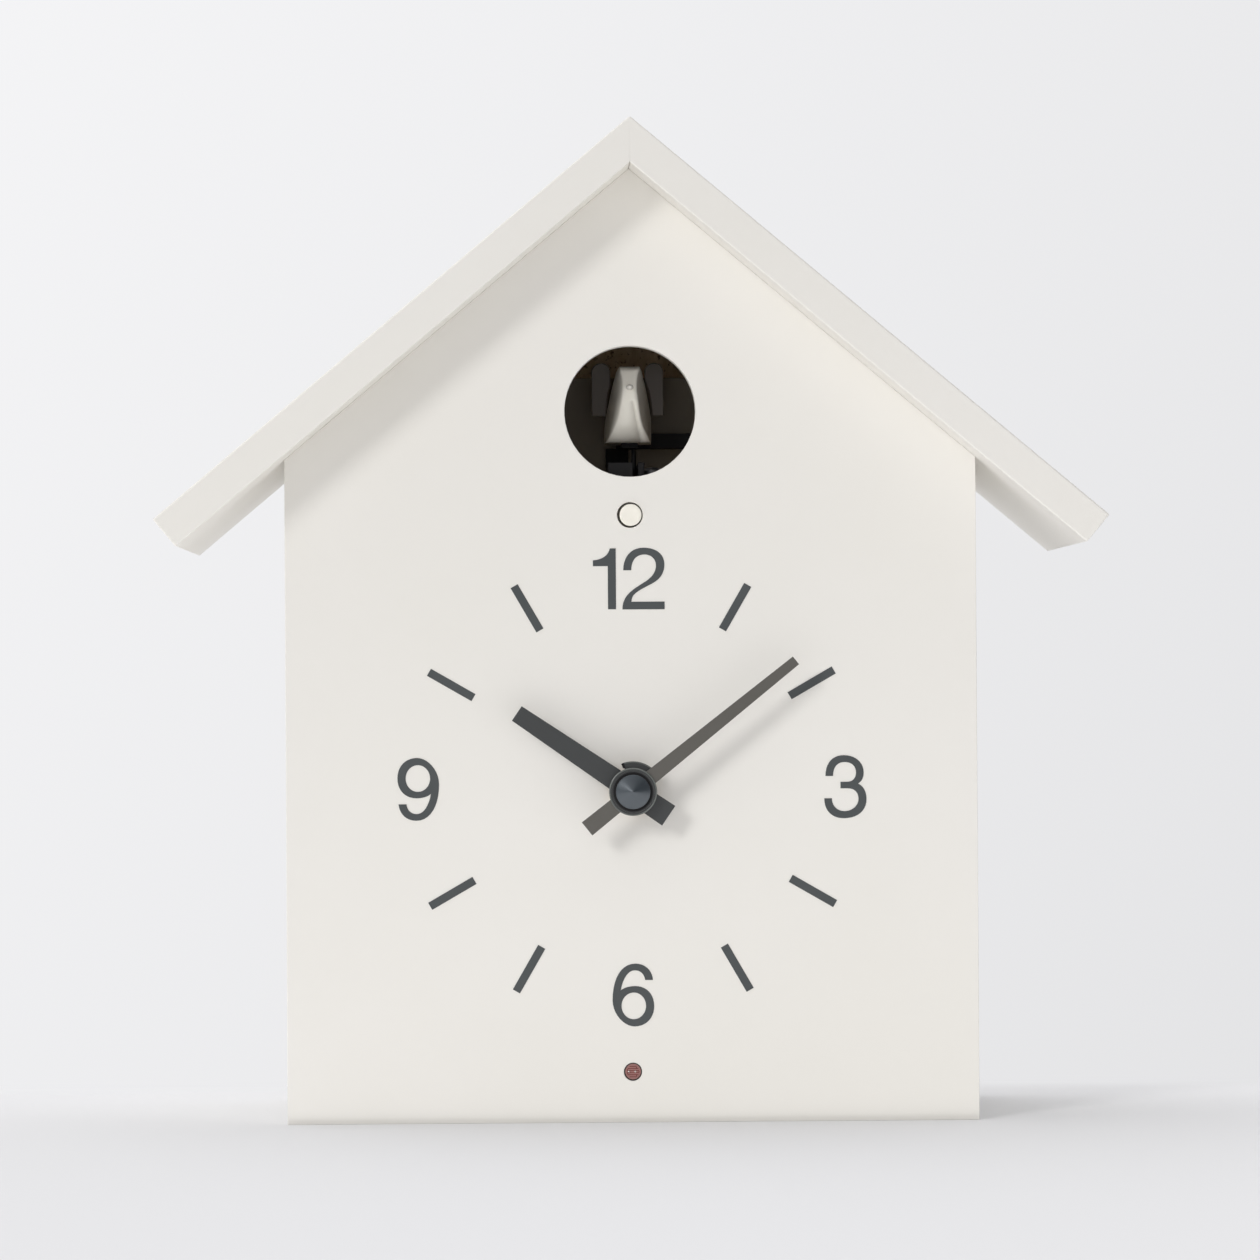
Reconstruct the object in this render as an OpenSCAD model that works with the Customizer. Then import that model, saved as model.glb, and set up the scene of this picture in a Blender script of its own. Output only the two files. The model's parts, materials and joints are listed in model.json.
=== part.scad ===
// Cuckoo clock shaped like a small gabled house, with a battery movement and a sliding bird.
// Frame: X to the right, Y from front to back, Z up. The origin is the middle of the footprint,
// on the surface that the clock stands on. Millimetres.

/* [Case] */
// Width over the eaves
roof_w = 255; // [250:1:260]
// Depth over the roof, front edge to back edge
depth = 105; // [103:1:108]
// Height of the ridge
case_h = 269.5; // [268:0.5:272]
// Slope of the roof in degrees
roof_pitch = 40; // [39:0.5:41]
// Thickness of a roof board
roof_t = 9.5; // [9:0.5:11]
// How far the roof stands out in front of the front panel
overhang = 18; // [17.5:0.5:18.5]
// Width of the body below the roof
body_w = 186.4; // [184:0.4:188]
// Thickness of the front panel
panel_t = 6; // [6:0.1:6.2]
// Thickness of a side wall
wall_t = 9; // [8:0.5:10]
// Thickness of the base board
base_t = 9; // [8.8:0.1:9]
// Thickness of the back panel
back_t = 5.5; // [5.4:0.1:5.6]

/* [Dial] */
// Height of the hands' shaft above the base
shaft_z = 89.2; // [89:0.1:90]
// Height of the printed dial's centre
dial_z = 90; // [89.5:0.1:90.5]
// Inner end of an hour mark, from the shaft
mark_in = 49.2; // [48:0.2:52]
// Outer end of an hour mark, from the shaft
mark_out = 63; // [60:0.2:64]
// Width of an hour mark
mark_w = 2.2; // [1.6:0.1:2.8]
// Distance of the upper and lower numerals from the dial's centre
numeral_r = 56.1; // [54:0.1:58]
// Distance of the side numerals from the dial's centre
side_numeral_r = 57.5; // [54:0.1:58]
// Thickness of the printed ink
ink_t = 0.1; // [0.08:0.01:0.2]

/* [Hands] */
// Direction of the hour hand, degrees clockwise from twelve
hour_angle = 304.3; // [0:0.1:360]
// Direction of the minute hand, degrees clockwise from twelve
minute_angle = 51.46; // [0:0.1:360]
// Reach of the hour hand
hour_reach = 37.5; // [34:0.5:40]
// Tail of the hour hand
hour_tail = 11.6; // [9:0.2:14]
// Reach of the minute hand
minute_reach = 56; // [52:0.2:58]
// Tail of the minute hand
minute_tail = 15.8; // [12:0.2:18]
// Thickness of a hand
hand_t = 0.8; // [0.6:0.1:0.9]

/* [Bird window and controls] */
// Height of the round window's centre
window_z = 191.6; // [191:0.1:192]
// Diameter of the round window
window_d = 35.4; // [34:0.2:36]
// How far the bird slides out
bird_travel = 26; // [20:1:26]
// Height of the push button's centre
button_z = 163.6; // [163:0.1:164]
// Diameter of the push button
button_d = 5.9; // [5.6:0.1:6.1]
// Travel of the push button
button_travel = 1.2; // [0.8:0.1:1.2]
// Height of the light sensor's centre
sensor_z = 13.6; // [13.3:0.1:14]
// Diameter of the light sensor's hole
sensor_d = 4.9; // [4.6:0.1:5]

/* [Gears] */
// Module of every gear
gear_m = 0.5; // [0.5:0.01:0.51]
// Share of the tooth's thickness taken off as backlash
backlash = 0.2; // [0.18:0.01:0.26]

/* [Hidden] */

// Faces of the case
y_front = -depth / 2;
y_back = depth / 2;
y_panel = y_front + overhang;
y_inside = y_panel + panel_t;
y_back_in = y_back - back_t;
half_w = roof_w / 2;
half_body = body_w / 2;
half_in = half_body - wall_t;
// Height that the roof's underside has above its line through the ridge
ridge_in = case_h - roof_t / cos(roof_pitch);
function underside(x) = ridge_in - abs(x) * tan(roof_pitch);

// The round holes of the panel sit a little left of its middle
button_hole_x = -0.2;
button_hole_r = 3.45;
sensor_x = -0.2;
// Running clearance of a shaft in its hole, and clearance of a pressed fit
run = 0.05;
press = 0.02;
// Gap between flat pieces that only lie side by side
gap = 0.3;

// Colours
white_paint = [0.90, 0.89, 0.87];
raw_board = [0.55, 0.42, 0.29];
ink = [0.30, 0.31, 0.30];
charcoal = [0.24, 0.25, 0.25];
black_plastic = [0.08, 0.08, 0.09];
dark_plastic = [0.22, 0.22, 0.21];
pale_plastic = [0.86, 0.86, 0.84];
steel = [0.62, 0.63, 0.65];
brass = [0.78, 0.62, 0.30];
copper = [0.72, 0.40, 0.20];
board_green = [0.10, 0.36, 0.20];
rubber = [0.12, 0.12, 0.12];

/* ---------- helpers ---------- */

// Box between two corners
module block(lo, hi) {
    translate(lo) cube(hi - lo);
}

// Outline drawn in X and Z, given thickness along Y
module along_y(y0, y1) {
    translate([0, y1, 0]) rotate([90, 0, 0]) linear_extrude(y1 - y0) children();
}

module rod_y(x, z, r, y0, y1, r2 = undef) {
    translate([x, y0, z]) rotate([-90, 0, 0])
        cylinder(h = y1 - y0, r1 = r, r2 = is_undef(r2) ? r : r2, $fn = 64);
}

module rod_x(y, z, r, x0, x1) {
    translate([x0, y, z]) rotate([0, 90, 0]) cylinder(h = x1 - x0, r = r, $fn = 48);
}

module rod_z(x, y, r, z0, z1) {
    translate([x, y, z0]) cylinder(h = z1 - z0, r = r, $fn = 48);
}

// Ring around an axis along Y
module tube_y(x, z, r_out, r_in, y0, y1) {
    difference() {
        rod_y(x, z, r_out, y0, y1);
        rod_y(x, z, r_in, y0 - 1, y1 + 1);
    }
}

module rounded_rect(w, h, r) {
    union() {
        square([w - 2 * r, h], center = true);
        square([w, h - 2 * r], center = true);
        for (sx = [-1, 1], sz = [-1, 1])
            translate([sx * (w / 2 - r), sz * (h / 2 - r)]) circle(r = r, $fn = 32);
    }
}

// Point at radius r, angle a degrees clockwise from the top
function clock_point(r, a) = [r * sin(a), r * cos(a)];

// Gear outline with straight-sided teeth; one tooth points to the angle "tooth_at"
function tooth_thickness(m) = PI * m / 2 * (1 - backlash);
function gear_points(n, m, tooth_at) = let (
    rp = m * n / 2,
    rt = rp + 0.85 * m,
    rr = rp - 1.25 * m,
    half = tooth_thickness(m) / 2,
    spots = [[rr, 1.45 * half], [rp - 0.45 * m, 1.2 * half], [rp, half], [rt, 0.42 * half]],
    outline = concat([for (s = spots) [s[0], -s[1]]], [for (i = [3:-1:0]) [spots[i][0], spots[i][1]]])
) [
    for (k = [0:n - 1], s = outline)
        let (a = tooth_at + 360 * k / n + s[1] / s[0] * 180 / PI) [s[0] * cos(a), s[0] * sin(a)]
];

module gear(n, tooth_at) {
    polygon(gear_points(n, gear_m, tooth_at));
}

// Round tube of constant section swept along a list of points
function unit(v) = v / norm(v);
function tangent(p, i) = unit(p[min(i + 1, len(p) - 1)] - p[max(i - 1, 0)]);
function side_of(t) = unit(abs(t[2]) < 0.8 ? cross(t, [0, 0, 1]) : cross(t, [0, 1, 0]));
module sweep(path, r, sides = 8) {
    rings = [for (i = [0:len(path) - 1])
        let (t = tangent(path, i), u = side_of(t), v = cross(t, u))
        for (k = [0:sides - 1])
            let (a = 360 * k / sides) path[i] + r * (cos(a) * u + sin(a) * v)];
    last = len(path) - 1;
    faces = concat(
        [[for (k = [sides - 1:-1:0]) k]],
        [for (i = [0:last - 1], k = [0:sides - 1])
            let (a = i * sides + k, b = i * sides + (k + 1) % sides)
            [a, b, b + sides, a + sides]],
        [[for (k = [0:sides - 1]) last * sides + k]]);
    polyhedron(points = rings, faces = faces, convexity = 8);
}

// Smooth curve through hand-placed points
function curve_point(a, b, c, d, t) = 0.5 * (2 * b + (c - a) * t
    + (2 * a - 5 * b + 4 * c - d) * t * t + (3 * b - a - 3 * c + d) * t * t * t);
function smooth(p, steps = 4) = let (n = len(p) - 1) concat(
    [for (i = [0:n - 1], k = [0:steps - 1])
        curve_point(p[max(i - 1, 0)], p[i], p[i + 1], p[min(i + 2, n)], k / steps)],
    [p[n]]);

/* ---------- case ---------- */

module house_outline(half, bottom, inset = 0) {
    polygon([[-half, bottom], [half, bottom], [half, underside(half) - inset],
             [0, ridge_in - inset], [-half, underside(half) - inset]]);
}

module front_panel() {
    color(white_paint) difference() {
        along_y(y_panel, y_inside) house_outline(half_body, 0);
        rod_y(0, window_z, window_d / 2, y_panel - 1, y_inside + 1);
        rod_y(button_hole_x, button_z, button_hole_r, y_panel - 1, y_inside + 1);
        rod_y(sensor_x, sensor_z, sensor_d / 2, y_panel - 1, y_inside + 1);
        rod_y(0, shaft_z, bush_r + press, y_panel - 1, y_inside + 1);
    }
}

module side_wall(side) {
    color(white_paint) along_y(y_inside, y_back)
        polygon([[side * half_in, 0], [side * half_body, 0], [side * half_body, underside(half_body)],
                 [side * half_in, underside(half_in)]]);
}
module left_wall() { side_wall(-1); }
module right_wall() { side_wall(1); }

module base_board() {
    color(white_paint) block([-half_in, y_inside, 0], [half_in, y_back_in, base_t]);
}

// The boards meet in an upright mitre under the ridge, and their eaves are cut square
module roof_board(side) {
    color(white_paint) along_y(y_front, y_back)
        polygon([[0, case_h], [side * half_w, case_h - half_w * tan(roof_pitch)],
                 [side * (half_w - roof_t * sin(roof_pitch)),
                  case_h - half_w * tan(roof_pitch) - roof_t * cos(roof_pitch)],
                 [0, ridge_in]]);
}
module roof_left() { roof_board(-1); }
module roof_right() { roof_board(1); }

// Back: an upper panel with sound slots, a pocket behind the hanger and screw holes, and three rails
// around the access door
panel_gap = 0.2;
frame_half_w = 65.2;
frame_z0 = 9.4;
frame_z1 = 103.6;
speaker_z = 138;
slot_pitch = 7;
slot_half = [11, 16, 18, 18, 16, 11];
hanger_z = 216;
hanger_w = 26;
hanger_h = 34;
hanger_t = 1.5;
pocket_w = 13;
pocket_z = [206.5, 227.5];
screw_r = 1.6;
screw_head_r = 3.2;
screw_head_h = 1.9;
back_screw_at = [[-76, 20], [76, 20], [-76, 118], [76, 118], [-52, 190], [52, 190]];
hanger_screw_at = [-9, 9];

module back_panel() {
    color(white_paint) difference() {
        along_y(y_back_in, y_back) house_outline(half_in - panel_gap, frame_z1, panel_gap);
        for (i = [0:len(slot_half) - 1])
            along_y(y_back_in - 1, y_back + 1)
                translate([(i - (len(slot_half) - 1) / 2) * slot_pitch, speaker_z])
                    rounded_rect(3, 2 * slot_half[i], 1.49);
        along_y(y_back - hanger_t, y_back + 1)
            translate([0, hanger_z]) rounded_rect(hanger_w, hanger_h, 3);
        block([-pocket_w / 2, y_back_in - 1, pocket_z[0]], [pocket_w / 2, y_back, pocket_z[1]]);
        back_screw_holes();
        for (x = hanger_screw_at)
            rod_y(x, hanger_z, 1.2 + press, y_back_in - 1, y_back);
    }
}

module back_screw_holes() {
    for (p = back_screw_at) {
        rod_y(p[0], p[1], screw_r + press, y_back_in - 1, y_back + 1);
        rod_y(p[0], p[1], screw_head_r + run, y_back - screw_head_h, y_back + 1);
    }
}

module back_rails() {
    color(white_paint) {
        for (s = [-1, 1])
            difference() {
                block([s > 0 ? frame_half_w : panel_gap - half_in, y_back_in, 0],
                      [s > 0 ? half_in - panel_gap : -frame_half_w, y_back, frame_z1 - 0.05]);
                back_screw_holes();
            }
        block([0.05 - frame_half_w, y_back_in, 0], [frame_half_w - 0.05, y_back, frame_z0]);
    }
}

// Glued blocks that square the case and carry the shelf
block_s = 13;
batten_half = 31;
batten_z = [202.5, 229.5];
batten_t = 11;
module corner_blocks() {
    color(raw_board) difference() {
        for (s = [-1, 1]) {
            for (z = [13.5, 111.5])
                block([s > 0 ? half_in - block_s : -half_in, y_back_in - 16, z],
                      [s > 0 ? half_in : -half_in + block_s, y_back_in, z + block_s]);
            for (z = [9, 128])
                block([s > 0 ? half_in - block_s : -half_in, y_inside, z],
                      [s > 0 ? half_in : -half_in + block_s, y_inside + block_s, z + 24]);
            along_y(y_back_in - 16, y_back_in)
                polygon([[s * 44, 182], [s * 60, 182], [s * 60, underside(60)],
                         [s * 44, underside(44)]]);
            block([s > 0 ? 38 : -50, y_inside, shelf_z0 - 12],
                  [s > 0 ? 50 : -38, y_inside + 11, shelf_z0]);
        }
        for (p = back_screw_at) rod_y(p[0], p[1], screw_r + press, y_back_in - 12.1, y_back);
    }
}

// Batten behind the hanger, with a pocket for the head of the wall screw
module hanger_batten() {
    color(raw_board) difference() {
        block([-batten_half, y_back_in - batten_t, batten_z[0]], [batten_half, y_back_in, batten_z[1]]);
        block([-pocket_w / 2, y_back_in - 6, pocket_z[0]], [pocket_w / 2, y_back, pocket_z[1]]);
    }
}

module countersunk_screw(x, z, r, head_r, head_h, length) {
    difference() {
        union() {
            rod_y(x, z, r, y_back - head_h - length, y_back - head_h);
            rod_y(x, z, head_r, y_back - head_h, y_back - 0.4);
        }
        for (a = [0, 90])
            along_y(y_back - 1.5, y_back)
                translate([x, z]) rotate(a) square([3.2, 0.7], center = true);
    }
}

module back_screws() {
    color(steel) for (p = back_screw_at)
        countersunk_screw(p[0], p[1], screw_r, screw_head_r, screw_head_h - 0.1, 15);
}

// Keyhole plate let into the back panel: a screw's head enters the round hole and the clock drops
keyhole_r = 4.5;
keyslot_r = 2.2;
keyslot_l = 9.5;
module hanger_plate() {
    color(steel) difference() {
        along_y(y_back - hanger_t, y_back)
            translate([0, hanger_z]) rounded_rect(hanger_w - 0.2, hanger_h - 0.2, 2.9);
        rod_y(0, hanger_z - 4, keyhole_r, y_back - 4, y_back + 1);
        along_y(y_back - 4, y_back + 1) {
            translate([-keyslot_r, hanger_z - 4]) square([2 * keyslot_r, keyslot_l]);
            translate([0, hanger_z - 4 + keyslot_l]) circle(r = keyslot_r, $fn = 48);
        }
        for (x = hanger_screw_at) rod_y(x, hanger_z, 1.2 + press, y_back - 4, y_back + 1);
        for (x = hanger_screw_at) rod_y(x, hanger_z, 2.3, y_back - 0.9, y_back + 1);
    }
}

module hanger_screws() {
    color(steel) for (x = hanger_screw_at) {
        rod_y(x, hanger_z, 1.2, y_back - 5, y_back - 0.9);
        rod_y(x, hanger_z, 2.25, y_back - 0.9, y_back - 0.2);
    }
}

// Plastic frame in the back panel with the door's hinge sockets
door_half_w = 61.6;
door_z1 = 99.6;
hinge_y = y_back - 1.9;
hinge_z = 14.2;
hinge_r = 1.6;
pin_r = 1;
frame_in_w = 61.9;
frame_in_z0 = 12;
frame_in_z1 = 100.2;
module door_frame() {
    color(pale_plastic) difference() {
        union() {
            along_y(y_back_in, y_back)
                translate([0, (frame_z0 + frame_z1) / 2])
                    square([2 * (frame_half_w - panel_gap), frame_z1 - frame_z0 - 2 * panel_gap],
                           center = true);
            block([-frame_half_w - 4, y_back_in - 1.6, base_t + gap],
                  [frame_half_w + 4, y_back_in, frame_z1 + 4]);
        }
        block([-frame_in_w, y_back_in - 3, frame_in_z0], [frame_in_w, y_back + 1, frame_in_z1]);
        rod_x(hinge_y, hinge_z, pin_r + run, -frame_in_w - 2.4, frame_in_w + 2.4);
    }
}

// Door that swings out and down on two pins, with a finger notch in its top edge
module access_door() {
    door_y0 = hinge_y - hinge_r;
    color(pale_plastic) difference() {
        union() {
            block([-door_half_w, door_y0, hinge_z], [door_half_w, door_y0 + 2.2, door_z1]);
            rod_x(hinge_y, hinge_z, hinge_r, -door_half_w, door_half_w);
            rod_x(hinge_y, hinge_z, pin_r, -door_half_w - 2.4, door_half_w + 2.4);
            for (z = [40, 68]) block([-52, door_y0 - 1.2, z], [52, door_y0, z + 1.6]);
        }
        along_y(door_y0 + 0.8, y_back) translate([0, door_z1]) circle(r = 8, $fn = 64);
    }
}

/* ---------- printed dial ---------- */

// Points of a cubic curve, without its first point
function bez(a, b, c, d, n = 10) = [for (i = [1:n]) let (t = i / n, u = 1 - t)
    u * u * u * a + 3 * u * u * t * b + 3 * u * t * t * c + t * t * t * d];
// Outline through a start point and a list of curves [handle, handle, end] or corners [point]
function last_of(v) = v[len(v) - 1];
function outline(p, parts) = concat([p], [for (i = [0:len(parts) - 1])
    let (part = parts[i], from = i == 0 ? p : last_of(parts[i - 1]))
        each len(part) == 1 ? part : bez(from, part[0], part[1], part[2])]);

// Numerals, each centred on its own middle, cap height 17
module digit_nine() {
    difference() {
        polygon(outline([3.38, -1.26], [
            [[2.5, -2.05], [1, -2.41], [-0.5, -2.41]],
            [[-3.5, -2.41], [-5.6, -0.3], [-5.6, 2.98]],
            [[-5.6, 6.2], [-3.4, 8.45], [-0.3, 8.45]],
            [[2.5, 8.45], [5.6, 5.2], [5.6, 1.37]],
            [[5.6, -4.5], [3.2, -8.45], [-0.5, -8.45]],
            [[-3.2, -8.45], [-5.1, -6.7], [-5.32, -4.02]],
            [[-3.2, -4.02]],
            [[-2.95, -5.7], [-1.9, -6.65], [-0.4, -6.65]],
            [[1.5, -6.65], [2.9, -4.2], [3.38, -1.3]]]));
        translate([-0.1, 2.91]) scale([3.29, 3.59]) circle(r = 1, $fn = 64);
    }
}

module digit_three() {
    polygon(outline([-5.34, 2.91], [
        [[-5.34, 6.6], [-3.3, 8.5], [-0.4, 8.5]],
        [[2.7, 8.5], [4.98, 6.6], [4.98, 3.84]],
        [[4.98, 2.4], [4.4, 1.35], [3.43, 0.83]],
        [[4.9, 0.2], [5.7, -1.4], [5.7, -3.27]],
        [[5.7, -6.6], [3.2, -8.5], [-0.4, -8.5]],
        [[-3.6, -8.5], [-5.7, -6.6], [-5.7, -3.1]],
        [[-3.65, -3.1]],
        [[-3.65, -5.2], [-2.2, -6.58], [-0.23, -6.58]],
        [[1.9, -6.58], [3.54, -5.1], [3.54, -3.27]],
        [[3.54, -1.5], [2.4, -0.43], [0.6, -0.43]],
        [[-1.3, -0.43]], [[-1.3, 1.33]], [[0.5, 1.33]],
        [[2.1, 1.33], [2.9, 2.4], [2.9, 3.84]],
        [[2.9, 5.6], [1.7, 6.65], [-0.23, 6.65]],
        [[-2.2, 6.65], [-3.29, 5.2], [-3.29, 2.91]]]));
}

module digit_two() {
    polygon(outline([-5.41, 2.25], [
        [[-5.41, 6], [-3.2, 8.31], [0.1, 8.31]],
        [[3.4, 8.31], [5.69, 6.6], [5.69, 3.87]],
        [[5.69, 1.6], [4.7, 0.1], [2.98, -1]],
        [[1.2, -2.1], [-1.1, -2.9], [-2.44, -4.25]],
        [[-3, -4.75], [-3.2, -5.4], [-3.25, -6.25]],
        [[5.69, -6.25]], [[5.69, -8.31]], [[-5.69, -8.31]],
        [[-5.69, -6.3], [-4.9, -4.6], [-2.98, -3.17]],
        [[-1.9, -2.3], [-0.8, -1.65], [0.27, -1]],
        [[1.9, 0], [3.41, 1.4], [3.41, 3.5]],
        [[3.41, 5.3], [2.1, 6.47], [0.27, 6.47]],
        [[-1.9, 6.47], [-3.25, 4.9], [-3.25, 2.25]]]));
}

module digit_one() {
    polygon(outline([-5.09, 5], [
        [[-2.6, 5.2], [-1, 6.2], [-0.49, 8.2]],
        [[1.08, 8.2]], [[1.08, -8.2]], [[-1.08, -8.2]], [[-1.08, 3.44]], [[-5.09, 3.44]]]));
}

module dial_print() {
    color(ink) along_y(y_panel - ink_t, y_panel) {
        for (h = [0:11]) if (h % 3 != 0)
            translate([0, dial_z]) rotate(-30 * h)
                translate([-mark_w / 2, mark_in]) square([mark_w, mark_out - mark_in]);
        translate([-5.15, dial_z + numeral_r + 0.3]) digit_one();
        translate([3.35, dial_z + numeral_r + 0.35]) digit_two();
        translate([side_numeral_r, dial_z]) digit_three();
        translate([0, dial_z - numeral_r + 0.35]) rotate(180) digit_nine();
        translate([-side_numeral_r - 0.1, dial_z]) digit_nine();
    }
}

/* ---------- quartz movement ---------- */

// The movement hangs behind the front panel on its threaded bush
mv_half = 28;
mv_y0 = y_inside + 0.5;
mv_split = mv_y0 + 9;
mv_y1 = mv_y0 + 16;
mv_wall = 1.6;
bush_r = 4;
bush_bore = 3;
bush_y = y_panel - 3.7;
nut_t = 2.2;
// Wheels: minute pinion and motion wheel, motion pinion and hour wheel
minute_teeth = 10;
motion_teeth = 30;
motion_pinion_teeth = 8;
hour_teeth = 32;
centre_d = gear_m * (minute_teeth + motion_teeth) / 2;
motion_z = shaft_z - centre_d;
setting_z = motion_z - centre_d;
arbor_r = 1.75;
pipe_bore = arbor_r + 0.1;
pipe_r = bush_bore - 0.1;
motion_post_r = 0.8;
hour_gear_y = mv_y0 + 2.4;
motion_gear_y = hour_gear_y + 2.6;
gear_w = 1.4;
setting_shaft_r = 1.3;
rotor_x = 15;
rotor_z = shaft_z + 18.4;

module movement_case() {
    color(black_plastic) difference() {
        union() {
            along_y(mv_y0, mv_split)
                translate([0, shaft_z]) rounded_rect(2 * mv_half, 2 * mv_half, 3);
            rod_y(0, shaft_z, bush_r, bush_y, mv_y0 + 0.1);
        }
        along_y(mv_y0 + mv_wall, mv_split + 1)
            translate([0, shaft_z])
                rounded_rect(2 * (mv_half - mv_wall), 2 * (mv_half - mv_wall), 1.5);
        rod_y(0, shaft_z, bush_bore, bush_y - 1, mv_split);
    }
    color(black_plastic) rod_y(0, motion_z, motion_post_r, mv_y0 + mv_wall, motion_gear_y + 2.6);
}

module movement_cover() {
    color(black_plastic) difference() {
        along_y(mv_split, mv_y1)
            translate([0, shaft_z]) rounded_rect(2 * mv_half, 2 * mv_half, 3);
        along_y(mv_split - 1, mv_y1 - mv_wall)
            translate([0, shaft_z])
                rounded_rect(2 * (mv_half - mv_wall), 2 * (mv_half - mv_wall), 1.5);
        rod_y(0, setting_z, setting_shaft_r + run, mv_split, mv_y1 + 1);
        rod_y(0, shaft_z, arbor_r + run, mv_split, mv_y1 + 1);
    }
}

module movement_nut() {
    color(brass) difference() {
        rod_y(0, shaft_z, 6, y_panel - nut_t, y_panel);
        rod_y(0, shaft_z, bush_r + press, y_panel - nut_t - 1, y_panel + 1);
        for (a = [0:60:300])
            along_y(y_panel - nut_t - 1, y_panel + 1)
                translate([0, shaft_z]) rotate(a) translate([5.25, -4]) square([2, 8]);
    }
}

module movement_washer() {
    color(rubber) tube_y(0, shaft_z, 9, bush_r + press, y_inside, mv_y0);
}

// Lavet step motor: coil on the stator's bar, magnet rotor in the stator's eye
stator_y = mv_y0 + 7.4;
stator_t = 1.2;
coil_x0 = -21;
coil_x1 = 1;
module coil() {
    color(copper) difference() {
        union() {
            rod_x(stator_y + stator_t / 2, rotor_z, 4, coil_x0 + 1, coil_x1 - 1);
            for (x = [coil_x0, coil_x1 - 1]) rod_x(stator_y + stator_t / 2, rotor_z, 4.9, x, x + 1);
        }
        rod_x(stator_y + stator_t / 2, rotor_z, 1.75, coil_x0 - 1, coil_x1 + 1);
    }
}

module stator() {
    color(steel) along_y(stator_y, stator_y + stator_t) difference() {
        union() {
            translate([coil_x0 - 3, rotor_z - 1.4]) square([rotor_x - coil_x0 + 1, 2.8]);
            translate([rotor_x, rotor_z]) circle(r = 6.2, $fn = 64);
        }
        translate([rotor_x, rotor_z]) circle(r = 3.5, $fn = 64);
    }
}

module rotor() {
    color(dark_plastic) {
        rod_y(rotor_x, rotor_z, 2.9, stator_y - 0.8, stator_y + stator_t + 0.8);
        rod_y(rotor_x, rotor_z, 0.5, mv_y0 + mv_wall + 0.1, stator_y - 0.8);
        rod_y(rotor_x, rotor_z, 0.5, stator_y + stator_t + 0.8, mv_y1 - mv_wall - 0.1);
    }
}

module movement_board() {
    color(board_green) block([11, mv_split + 0.6, shaft_z - 25], [25, mv_split + 2, shaft_z + 8]);
    color(black_plastic) rod_y(18, shaft_z - 12, 3.4, mv_split + 2, mv_split + 3.4);
}

hour_plate_y = y_panel - 8.6;
minute_plate_y = y_panel - 11.6;
minute_face_y = minute_plate_y - 0.6;
arbor_y = minute_face_y - 0.8;
module minute_arbor() {
    color(brass) {
        rod_y(0, shaft_z, arbor_r, arbor_y, motion_gear_y);
        along_y(motion_gear_y, motion_gear_y + gear_w)
            translate([0, shaft_z]) gear(minute_teeth, -90);
        rod_y(0, shaft_z, arbor_r, motion_gear_y + gear_w, mv_y1 - 0.2);
    }
}

// Hand with a straight taper and square ends, before it is turned to its hour
module hand_outline(reach, tip_w, tail, tail_w) {
    polygon([[-tip_w / 2, reach], [tip_w / 2, reach], [tail_w / 2, -tail], [-tail_w / 2, -tail]]);
}

module minute_hand() {
    boss_r = 6.4;
    color(charcoal) difference() {
        union() {
            along_y(minute_plate_y, minute_plate_y + hand_t)
                translate([0, shaft_z]) rotate(-minute_angle)
                    hand_outline(minute_reach, 2.65, minute_tail, 4.5);
            rod_y(0, shaft_z, boss_r, minute_face_y, minute_plate_y + hand_t);
            rod_y(0, shaft_z, 3.2, minute_plate_y + hand_t, minute_plate_y + hand_t + 0.7);
        }
        tube_y(0, shaft_z, 5.6, 4.9, minute_face_y - 1, minute_face_y + 0.4);
        rod_y(0, shaft_z, arbor_r + press, minute_face_y - 1, y_panel);
    }
}

module hand_cap() {
    color(steel) difference() {
        union() {
            rod_y(0, shaft_z, 0.4, minute_face_y - 2.6, minute_face_y - 0.5, 4.6);
            rod_y(0, shaft_z, 4.6, minute_face_y - 0.5, minute_face_y);
        }
        rod_y(0, shaft_z, arbor_r + press, arbor_y - 0.05, minute_face_y + 1);
    }
}

module hour_wheel() {
    color(pale_plastic) difference() {
        union() {
            along_y(hour_gear_y, hour_gear_y + gear_w)
                translate([0, shaft_z]) gear(hour_teeth, -90 + 180 / hour_teeth);
            rod_y(0, shaft_z, pipe_r, hour_plate_y - 1, hour_gear_y);
        }
        rod_y(0, shaft_z, pipe_bore, hour_plate_y - 2, hour_gear_y + gear_w + 1);
    }
}

module hour_hand() {
    boss_r = 5;
    color(charcoal) difference() {
        union() {
            along_y(hour_plate_y, hour_plate_y + hand_t)
                translate([0, shaft_z]) rotate(-hour_angle)
                    hand_outline(hour_reach, 4.7, hour_tail, 6.4);
            rod_y(0, shaft_z, boss_r, hour_plate_y - 0.8, hour_plate_y + 2.6);
            // Collar tab that shows behind the minute hand's boss
            along_y(hour_plate_y, hour_plate_y + hand_t)
                translate([0, shaft_z])
                    polygon(concat([[0, 0]], [for (a = [-20:3:43]) clock_point(8.1, a)]));
        }
        rod_y(0, shaft_z, pipe_r + press, hour_plate_y - 2, y_panel);
    }
}

module motion_wheel() {
    color(pale_plastic) difference() {
        union() {
            along_y(motion_gear_y, motion_gear_y + gear_w)
                translate([0, motion_z]) gear(motion_teeth, 90 + 180 / motion_teeth);
            along_y(hour_gear_y, motion_gear_y)
                translate([0, motion_z]) gear(motion_pinion_teeth, 90);
        }
        rod_y(0, motion_z, motion_post_r + run, hour_gear_y - 1, motion_gear_y + 4);
    }
}

module setting_shaft() {
    color(pale_plastic) {
        rod_y(0, setting_z, setting_shaft_r, mv_y0 + mv_wall + 0.2, motion_gear_y);
        along_y(motion_gear_y, motion_gear_y + gear_w)
            translate([0, setting_z]) gear(minute_teeth, 90);
        rod_y(0, setting_z, setting_shaft_r, motion_gear_y + gear_w, mv_y1 + 6);
    }
}

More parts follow.
